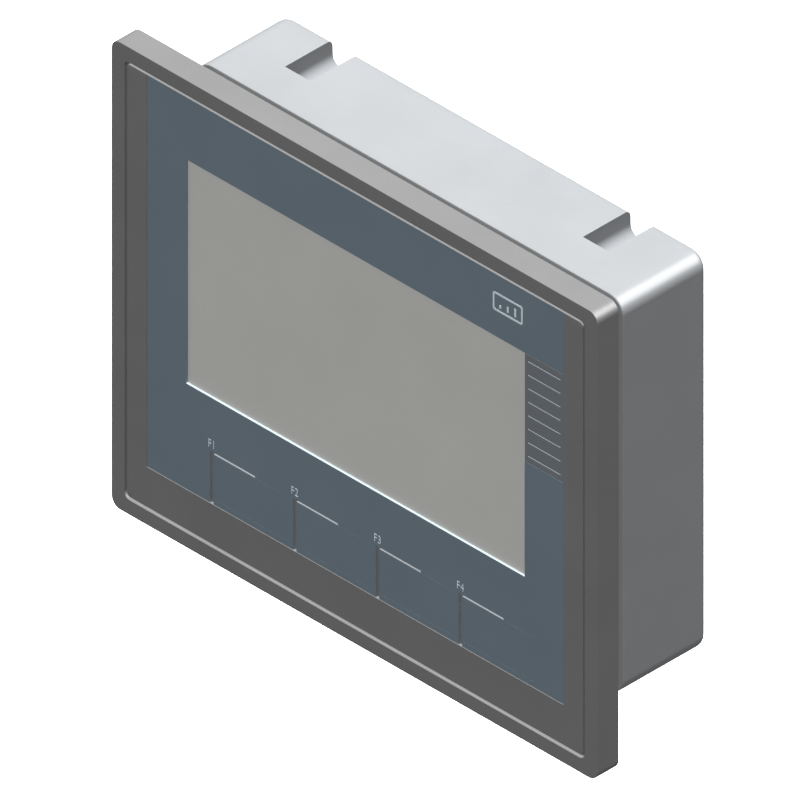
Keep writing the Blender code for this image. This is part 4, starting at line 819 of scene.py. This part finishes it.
def lip_seal():
    """Silicone ring with two soft lips towards the cabinet wall."""
    low, high = box_mm("mounting_seal")
    corner = HOUSING_CORNER - SEAL_CORNER_STEP
    shoulder = high.y - SEAL_LIP_HEIGHT
    half = []
    for inset, along, easing in ((0, low.y, 0), (0, shoulder, 0.2), (SEAL_LIP_SLOPE, high.y, 0.25),
                                 (SEAL_LIP_WIDTH, high.y, 0.25)):
        half.append((inset, along, corner, easing))
    valley = (SEAL_WIDTH / 2, high.y - SEAL_VALLEY, corner, 0.15)
    mirrored = [(SEAL_WIDTH - inset, *rest) for inset, *rest in reversed(half)]
    profile = [*half, valley, *mirrored]
    hoop = body_through("seal", loops((low.x, low.z), (high.x, high.z), profile), ring=True)
    return finished(hoop, "lip_seal", "panel", finish_of("rubber"), ["mounting_seal"])


# ---- housing ----
def notch_tools(side_x, side_z, high):
    """Wall block inside the shell, and the notch and hook slot cut through it."""
    centre = side_x * NOTCH_CENTRE
    front = high.y - NOTCH_LENGTH
    floor = high.z - NOTCH_DEPTH
    levels = sorted((side_z * (floor - HOUSING_WALL), side_z * (high.z - HOUSING_WALL / 2)))
    half = NOTCH_HALF + HOUSING_WALL
    wall = block("wall", (centre - half, front - HOUSING_WALL, levels[0]),
                 (centre + half, high.y - HOUSING_WALL / 2, levels[1]))
    outline = [(centre + NOTCH_HALF, side_z * (high.z + OVERSHOOT)),
               (centre - NOTCH_HALF, side_z * (high.z + OVERSHOOT))]
    for side, start in ((-1, 0), (1, 90)):
        fillet_centre = centre + side * (NOTCH_HALF - NOTCH_FLOOR_FILLET)
        for step in range(NOTCH_ARC_STEPS + 1):
            angle = math.radians(start + 90 * step / NOTCH_ARC_STEPS)
            across = fillet_centre - NOTCH_FLOOR_FILLET * math.cos(angle)
            up = floor + NOTCH_FLOOR_FILLET * (1 - math.sin(angle))
            outline.append((across, side_z * up))
    notch = prism("notch", outline, front, high.y + OVERSHOOT)
    slot_front = front + HOOK_OFFSET
    levels = sorted((side_z * (floor - HOUSING_WALL - OVERSHOOT), side_z * (floor + OVERSHOOT)))
    slot = block("hook", (centre - HOOK_HALF, slot_front, levels[0]),
                 (centre + HOOK_HALF, slot_front + HOOK_LENGTH, levels[1]))
    return wall, notch, slot


def wall_hole(outline, low):
    return prism("port", outline, low.z - OVERSHOOT, low.z + HOUSING_WALL + PORT_GAP, "Z")


def widened(node, margin):
    """A node's box in X and Y, widened all round."""
    low, high = box_mm(node)
    return (low.x - margin, low.y - margin), (high.x + margin, high.y + margin)


def rear_shell():
    low, high = box_mm("rear_housing")
    rear_inner = high.y - HOUSING_WALL
    outer = [
        (END_INSET, HOUSING_FRONT, 0.5, 0),
        (0, HOUSING_FRONT, HOUSING_CORNER, HOUSING_FRONT_EASE),
        (0, high.y, HOUSING_CORNER, HOUSING_REAR_FILLET),
        (END_INSET, high.y, 0.5, 0),
    ]
    inner = [
        (HOUSING_WALL, HOUSING_FRONT - OVERSHOOT, HOUSING_CORNER - HOUSING_WALL, 0),
        (HOUSING_WALL, rear_inner, HOUSING_CORNER - HOUSING_WALL, 0),
    ]
    corners = ((low.x, low.z), (high.x, high.z))
    shell = body_through("shell", loops(*corners, outer))
    carve(shell, remove=[body_through("inside", loops(*corners, inner))])
    added = []
    cutters = []
    for number in CORNERS:
        screw = centre_mm(f"cover_screw_{number}")
        spot = (screw.x, screw.z)
        added.append(prism("boss", circle(spot, HOUSING_BOSS_RADIUS), HOUSING_BOSS_FRONT,
                           rear_inner + EMBED))
        cutters.append(prism("counterbore", circle(spot, COUNTERBORE_RADIUS), SCREW_SEAT,
                             high.y + OVERSHOOT))
        cutters.append(prism("hole", circle(spot, SCREW_HOLE_RADIUS), HOUSING_BOSS_FRONT - OVERSHOOT,
                             SCREW_SEAT + OVERSHOOT))
    for side_x in SIDES:
        for side_z in SIDES:
            wall, notch, slot = notch_tools(side_x, side_z, high)
            added.append(wall)
            cutters += [notch, slot]
    cutters.append(wall_hole(rounded(*widened("power_plug", PLUG_GAP), PLUG_CORNER), low))
    for node in ("network_socket", "usb_socket"):
        cutters.append(wall_hole(square(*widened(node, PORT_GAP)), low))
    earth = centre_mm("earth_screw")
    cutters.append(wall_hole(circle((earth.x, earth.y), EARTH_HOLE_RADIUS), low))
    label_low, label_high = box_mm("rating_label")
    recess = rounded((label_low.x - PLATE_GAP, label_low.z - PLATE_GAP),
                     (label_high.x + PLATE_GAP, label_high.z + PLATE_GAP), PLATE_CORNER + 0.1)
    cutters.append(prism("recess", recess, label_low.y - PLATE_SINK, high.y + OVERSHOOT))
    carve(shell, added, cutters)
    soften(shell, EDGE_EASE)
    finished(shell, "rear_shell", "panel", finish_of("housing", "slide"),
             ["rear_housing"])
    for face in shell.data.polygons:
        centre = face.center / MM
        across = abs(abs(centre.x) - NOTCH_CENTRE)
        inside = across < NOTCH_HALF + SLACK and centre.y > high.y - NOTCH_LENGTH - SLACK
        if inside and high.z - NOTCH_DEPTH - SLACK < abs(centre.z) < high.z - SLACK:
            face.material_index = 1
    return shell


def type_plate():
    """Blank type plate: a frame, rules and empty fields, with no lettering."""
    low, high = box_mm("rating_label")
    rear = high.y
    face = rear - PRINT_THICKNESS
    plate = prism("plate", rounded((low.x, low.z), (high.x, high.z), PLATE_CORNER), low.y, face)
    finished(plate, "type_plate", "panel", finish_of("silver"), ["rating_label"])
    inset = PLATE_FRAME_INSET
    parts = [ring_print((low.x + inset, low.z + inset), (high.x - inset, high.z - inset), 0.3, rear)]
    for row in range(RULE_ROWS):
        level = high.z - 6.0 - RULE_PITCH * row
        rule = square((low.x + 4, level), (RULE_RIGHT, level + RULE_WIDTH))
        parts.append(prism("rule", rule, face, rear))
    for column in range(2):
        left = FIELD_LEFT + FIELD_PITCH * column
        parts.append(ring_print((left, low.z + 5), (left + FIELD_WIDTH, low.z + 12), RULE_WIDTH, rear))
    title = square((FIELD_LEFT, high.z - 10), (FIELD_LEFT + FIELD_PITCH + FIELD_WIDTH, high.z - 5))
    parts.append(prism("field", title, face, rear))
    finished(merged("rules", parts), "plate_rules", "panel", finish_of("plate_ink"))


# ---- screws ----
def crossed(centre, size, tip, reach, axis):
    """Cutters of a cross recess; tip is the recess floor and reach its open end."""
    tools = []
    for across, up in ((size, size * CROSS_ARM), (size * CROSS_ARM, size)):
        outline = square((centre[0] - across, centre[1] - up), (centre[0] + across, centre[1] + up))
        tools.append(prism("cross", outline, min(tip, reach), max(tip, reach), axis))
    return tools


def threaded_screw(name, node, body, axis, outward, head_radius, head_height, shank_radius, pitch):
    """Pan-head screw in a CAD screw's place: domed head, cross recess and turned thread."""
    low, high = box_mm(node)
    middle = (low + high) / 2
    if axis == "Y":
        centre = (middle.x, middle.z)
        ends = (low.y, high.y)
    else:
        centre = (middle.x, middle.y)
        ends = (low.z, high.z)
    top, tail = (ends[1], ends[0]) if outward > 0 else (ends[0], ends[1])
    seat = top - outward * head_height
    profile = [(shank_radius * 0.5, tail)]
    turns = int(abs(seat - tail) / pitch) - 1
    for turn in range(turns):
        along = tail + outward * (turn + 0.5) * pitch
        profile.append((shank_radius * THREAD_ROOT, along))
        profile.append((shank_radius, along + outward * pitch * THREAD_RISE))
    profile.append((shank_radius * THREAD_ROOT, tail + outward * (turns + 0.4) * pitch))
    profile.append((shank_radius, seat))
    profile.append((head_radius, seat))
    full_rise = math.sin(math.radians(HEAD_DOME[-1]))
    for turn in HEAD_DOME:
        angle = math.radians(turn)
        rise = HEAD_RIM + (1 - HEAD_RIM) * math.sin(angle) / full_rise
        reach = HEAD_FLAT + (1 - HEAD_FLAT) * math.cos(angle)
        profile.append((head_radius * reach, seat + outward * head_height * rise))
    shank = turned("screw", centre, profile, axis, TURNED_SIDES)
    recess_floor = top - outward * head_height * CROSS_DEPTH
    tools = crossed(centre, head_radius * CROSS_REACH, recess_floor, top + outward * OVERSHOOT, axis)
    carve(shank, remove=tools)
    return finished(shank, name, body, finish_of("screw"), [node])


def terminal_screws():
    """Slotted clamp screws at the bottom of the plug's two wells."""
    for number in (1, 2):
        low, high = box_mm(f"plug_screw_{number}")
        centre = ((low.x + high.x) / 2, (low.y + high.y) / 2)
        radius = (high.x - low.x) / 2
        profile = [(radius * 0.86, low.z), (radius, low.z + 0.2), (radius, low.z + 1.0),
                   (radius * 0.8, low.z + 1.1), (radius * 0.8, high.z)]
        screw = turned("clamp", centre, profile, "Z", TURNED_SIDES)
        slot = square((centre[0] - radius - OVERSHOOT, centre[1] - CLAMP_SLOT_HALF),
                      (centre[0] + radius + OVERSHOOT, centre[1] + CLAMP_SLOT_HALF))
        carve(screw, remove=[prism("slot", slot, low.z - OVERSHOOT, low.z + CLAMP_SLOT_DEPTH, "Z")])
        finished(screw, f"clamp_screw_{number}", f"plug_screw_{number}", finish_of("screw"),
                 [f"plug_screw_{number}"])


def serrated_washer():
    """External-tooth washer under the earth screw's head."""
    low, high = box_mm("earth_washer")
    centre = ((low.x + high.x) / 2, (low.y + high.y) / 2)
    outer_radius = (high.x - low.x) / 2
    sides = WASHER_TEETH * 4
    outer = []
    for side in range(sides):
        angle = 2 * math.pi * side / sides
        reach = outer_radius if side % 4 in (0, 1) else outer_radius - TOOTH_DEPTH
        outer.append((centre[0] + reach * math.cos(angle), centre[1] + reach * math.sin(angle)))
    inner = circle(centre, EARTH_HOLE_RADIUS, sides)
    sections = [(low.z, outer), (high.z, outer), (high.z, inner), (low.z, inner)]
    hoop = body_through("washer", sections, "Z", True)
    return finished(hoop, "serrated_washer", "panel", finish_of("screw"), ["earth_washer"])


# ---- ports ----
def terminal_plug():
    low, high = box_mm("power_plug")
    middle = (low + high) / 2
    profile = [(2.0, low.z, 0.3, 0), (0, low.z, PLUG_CORNER, 0.35), (0, high.z, PLUG_CORNER, 0.3),
               (2.0, high.z, 0.3, 0)]
    plug = body_through("plug", loops((low.x, low.y), (high.x, high.y), profile), "Z")
    cutters = []
    for side in SIDES:
        pole = middle.x + side * POLE_HALF_PITCH
        flare = WIRE_RADIUS + FUNNEL_FLARE
        neck = WIRE_RADIUS - 0.5
        funnel = [(flare, low.z - OVERSHOOT), (flare, low.z), (WIRE_RADIUS, low.z + FUNNEL_DEPTH),
                  (WIRE_RADIUS, low.z + 2.5), (neck, low.z + 3.2), (neck, low.z + 7.0)]
        cutters.append(turned("wire", (pole, middle.y + WIRE_OFFSET), funnel, "Z"))
        well = [(CLAMP_WELL_RADIUS, low.z - OVERSHOOT), (CLAMP_WELL_RADIUS, low.z + CLAMP_WELL_DEPTH)]
        cutters.append(turned("well", (pole, middle.y + CLAMP_OFFSET), well, "Z"))
        pin_hole = [(PIN_HOLE_RADIUS, high.z - PIN_HOLE_DEPTH), (PIN_HOLE_RADIUS, high.z + OVERSHOOT)]
        cutters.append(turned("socket", (pole, middle.y), pin_hole, "Z"))
        edge = low.x if side < 0 else high.x
        for rib in range(GRIP_RIBS):
            along = middle.y + GRIP_PITCH * (rib - (GRIP_RIBS - 1) / 2)
            cutters.append(block("rib", (edge - GRIP_PROUD, along - GRIP_HALF, low.z + 0.5),
                                 (edge + GRIP_PROUD, along + GRIP_HALF, low.z + 2.4)))
    cutters.append(block("parting", (middle.x - PARTING_HALF, low.y - OVERSHOOT, low.z - OVERSHOOT),
                         (middle.x + PARTING_HALF, high.y + OVERSHOOT, low.z + PARTING_DEPTH)))
    carve(plug, remove=cutters)
    return finished(plug, "terminal_plug", "power_plug", finish_of("green"),
                    ["power_plug"])


def network_port():
    low, high = box_mm("network_socket")
    middle = (low + high) / 2
    floor = low.y + JACK_MOUTH_OFFSET
    ceiling = floor + JACK_MOUTH[1]
    latch_top = ceiling + JACK_LATCH[1]
    half = JACK_MOUTH[0] / 2
    latch_half = JACK_LATCH[0] / 2
    deep = low.z + JACK_MOUTH_DEPTH
    wide = JACK_LINER
    entry = low.z - OVERSHOOT
    shell = block("shell", low, high)
    cutters = [block("mouth", (middle.x - half - wide, floor - wide, entry),
                     (middle.x + half + wide, ceiling + wide, deep + wide)),
               block("latch", (middle.x - latch_half - wide, ceiling, entry),
                     (middle.x + latch_half + wide, latch_top + wide, deep))]
    sink, spring_half, spring_length = JACK_SPRING_SIZE
    for edge in (low.x, high.x):
        for level in JACK_SPRINGS:
            cutters.append(block("spring", (edge - sink, middle.y - spring_half, low.z + level),
                                 (edge + sink, middle.y + spring_half, low.z + level + spring_length)))
    carve(shell, remove=cutters)
    soften(shell, JACK_EASE)
    finished(shell, "network_shell", "panel", finish_of("tin"), ["network_socket"])
    snug = wide - HAIRLINE
    liner_front = low.z + 0.25
    liner = block("liner", (middle.x - half - snug, floor - snug, liner_front),
                  (middle.x + half + snug, ceiling + snug, deep + snug))
    roof = block("roof", (middle.x - latch_half - snug, ceiling, liner_front),
                 (middle.x + latch_half + snug, latch_top + snug, deep - HAIRLINE))
    room = block("room", (middle.x - half, floor, entry), (middle.x + half, ceiling, deep))
    latch_room = block("latch_room", (middle.x - latch_half, ceiling - EMBED, entry),
                       (middle.x + latch_half, latch_top, deep - 0.5))
    carve(liner, [roof], [room, latch_room])
    finished(liner, "network_liner", "panel", finish_of("black"))
    wires = []
    for index in range(JACK_CONTACTS):
        across = middle.x + (index - (JACK_CONTACTS - 1) / 2) * JACK_PITCH
        path = [(floor + 0.1, low.z + 2.4), (floor + 0.45, low.z + 2.4), (floor + 3.0, deep - 1.6),
                (floor + 3.0, deep - 0.05), (floor + 2.6, deep - 0.05), (floor + 2.6, deep - 1.5)]
        wires.append(prism("wire", path, across - WIRE_HALF, across + WIRE_HALF, "X"))
    finished(merged("wires", wires), "network_contacts", "panel", finish_of("gold"))


def usb_port():
    low, high = box_mm("usb_socket")
    middle = (low + high) / 2
    shell = block("shell", low, high)
    cavity = block("cavity", (low.x + USB_WALL, low.y + USB_WALL, low.z - OVERSHOOT),
                   (high.x - USB_WALL, high.y - USB_WALL, low.z + USB_MOUTH_DEPTH))
    cutters = [cavity]
    for side in SIDES:
        across = middle.x + side * USB_SPRING_OFFSET
        window = block("window", (across - USB_WINDOW_HALF, high.y - USB_WALL - 0.2, low.z + 2.2),
                       (across + USB_WINDOW_HALF, high.y + OVERSHOOT, low.z + 6.4))
        cutters.append(window)
    carve(shell, remove=cutters)
    soften(shell, USB_EASE)
    finished(shell, "usb_shell", "panel", finish_of("tin"), ["usb_socket"])
    springs = []
    for side in SIDES:
        across = middle.x + side * USB_SPRING_OFFSET
        path = [(high.y - USB_WALL + 0.02, low.z + 6.4), (high.y - 0.1, low.z + 6.4),
                (high.y - 0.45, low.z + 3.4), (high.y - 0.15, low.z + 2.5),
                (high.y - 0.35, low.z + 2.5), (high.y - 0.75, low.z + 3.4)]
        springs.append(prism("spring", path, across - USB_SPRING_HALF, across + USB_SPRING_HALF, "X"))
    finished(merged("springs", springs), "usb_springs", "panel", finish_of("tin"))
    tongue_low, tongue_high = box_mm("usb_tongue")
    strips = []
    for index in range(USB_CONTACTS):
        across = middle.x + (index - (USB_CONTACTS - 1) / 2) * USB_PITCH
        strips.append(block("strip", (across - 0.5, tongue_high.y, tongue_low.z + 0.7),
                            (across + 0.5, tongue_high.y + 0.12, tongue_high.z)))
    finished(merged("strips", strips), "usb_contacts", "panel", finish_of("gold"))


# ---- CAD nodes whose shape stays ----
CARRIED_OVER = {
    "sheet": ["display_frame", "carrier_plate"],
    "dome": ["key_dome_sheet"],
    "laminate": ["key_board", "main_board"],
    "cell": ["display_panel"],
    "acrylic": ["light_guide"],
    "phosphor": ["backlight_strip"],
    "resin": ["processor", "memory_chip", "flash_chip", "power_inductor", "network_transformer", "buzzer"],
    "aluminium": ["heat_spreader", "clock_capacitor"],
    "sleeve": ["input_capacitor"],
    "film": ["display_ribbon", "touch_ribbon", "key_ribbon"],
    "nylon": ["display_connector", "touch_connector", "key_connector"],
    "brass": ["earth_insert"] + [f"board_spacer_{number}" for number in range(1, 5)],
    "screw": [f"{kind}_screw_{number}" for kind in ("carrier", "board") for number in range(1, 5)],
    "black": ["power_header", "usb_tongue"],
}


def refinish_nodes():
    for finish, nodes in CARRIED_OVER.items():
        for node in nodes:
            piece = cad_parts[node]
            piece.data.materials.clear()
            piece.data.materials.append(FINISHES[finish])


# ---- stage, light and camera ----
AZIMUTH = 45.0
ELEVATION = 34.85
VIEW_WIDTH = 162.9               # what the picture's side spans
VIEW_SHIFT_RIGHT = 4.97
VIEW_SHIFT_UP = -0.43
CAMERA_DISTANCE = 700.0
SKY = 0.26
TOP_LIGHT = 9.9
FRONT_LIGHT = 1.15
RIM_LIGHT = 5.5
FLOOR_SIZE = 3000.0


def lamp(name, direction, strength, spread, lights=("diffuse", "glossy")):
    """Far soft light that casts no shadow; direction points towards it, spread is in degrees."""
    data = bpy.data.lights.new(name, "SUN")
    data.energy = strength
    data.angle = math.radians(spread)
    data.use_shadow = False
    holder = bpy.data.objects.new(name, data)
    holder.visible_diffuse = "diffuse" in lights
    holder.visible_glossy = "glossy" in lights
    holder.rotation_euler = Vector(direction).to_track_quat("Z", "Y").to_euler()
    bpy.context.scene.collection.objects.link(holder)


def studio():
    scene = bpy.context.scene
    world = bpy.data.worlds.new("studio")
    world.use_nodes = True
    sky = world.node_tree.nodes["Background"]
    sky.inputs["Color"].default_value = (1.0, 1.0, 1.0, 1.0)
    seen = add_node(world.node_tree, "ShaderNodeLightPath")
    strength = add_node(world.node_tree, "ShaderNodeMapRange", [("To Min", SKY), ("To Max", 1.0)],
                        [("Value", seen, "Is Camera Ray")])
    world.node_tree.links.new(strength.outputs["Result"], sky.inputs["Strength"])
    scene.world = world
    lamp("top_light", (0.0, 0.0, 1.0), TOP_LIGHT, 40, ["diffuse"])
    lamp("front_light", (0.45, -0.7, 0.55), FRONT_LIGHT, 30)
    lamp("rim_light", (0.5, 0.57, 0.65), RIM_LIGHT, 50, ["glossy"])
    half = FLOOR_SIZE / 2
    level = cad_low.z / MM
    bm = bmesh.new()
    bm.faces.new([bm.verts.new(place(pair, level, "Z")) for pair in square((-half, -half), (half, half))])
    floor = new_object("floor", bm)
    paper, tree, shader = base_surface("paper_sweep", 0.9)
    side = add_node(tree, "ShaderNodeNewGeometry")
    clear = add_node(tree, "ShaderNodeBsdfTransparent")
    one_sided = add_node(tree, "ShaderNodeMixShader", (),
                         [(0, side, "Backfacing"), (1, shader, "BSDF"), (2, clear, "BSDF")])
    tree.links.new(one_sided.outputs[0], tree.nodes["Material Output"].inputs["Surface"])
    shader.inputs["Base Color"].default_value = (0.85, 0.85, 0.85, 1.0)
    shader.inputs["Emission Color"].default_value = (1.0, 1.0, 1.0, 1.0)
    shader.inputs["Emission Strength"].default_value = 0.3
    floor.data.materials.append(paper)
    floor.visible_diffuse = False
    floor.visible_glossy = False
    scene.view_settings.view_transform = "Standard"
    azimuth = math.radians(AZIMUTH)
    elevation = math.radians(ELEVATION)
    back = Vector((math.sin(azimuth) * math.cos(elevation), -math.cos(azimuth) * math.cos(elevation),
                   math.sin(elevation)))
    right = Vector((math.cos(azimuth), math.sin(azimuth), 0))
    up = back.cross(right)
    data = bpy.data.cameras.new("camera")
    data.type = "ORTHO"
    data.ortho_scale = VIEW_WIDTH * MM
    data.clip_start = 0.01
    data.clip_end = 10.0
    camera = bpy.data.objects.new("camera", data)
    camera.location = (back * CAMERA_DISTANCE + right * VIEW_SHIFT_RIGHT + up * VIEW_SHIFT_UP) * MM
    camera.rotation_euler = (math.pi / 2 - elevation, 0, azimuth)
    scene.collection.objects.link(camera)
    scene.camera = camera


studio()
bezel_moulding()
membrane_foil()
relief_strip()
function_key_caps()
key_numbers()
screen_pictogram()
touch_window()
lip_seal()
rear_shell()
type_plate()
for corner in CORNERS:
    threaded_screw(f"cover_screw_body_{corner}", f"cover_screw_{corner}", "panel", "Y", 1,
                   head_radius=2.5, head_height=2.0, shank_radius=1.25, pitch=0.9)
threaded_screw("earth_screw_body", "earth_screw", "earth_screw", "Z", -1,
               head_radius=3.6, head_height=2.4, shank_radius=1.5, pitch=0.7)
terminal_screws()
serrated_washer()
terminal_plug()
network_port()
usb_port()
refinish_nodes()
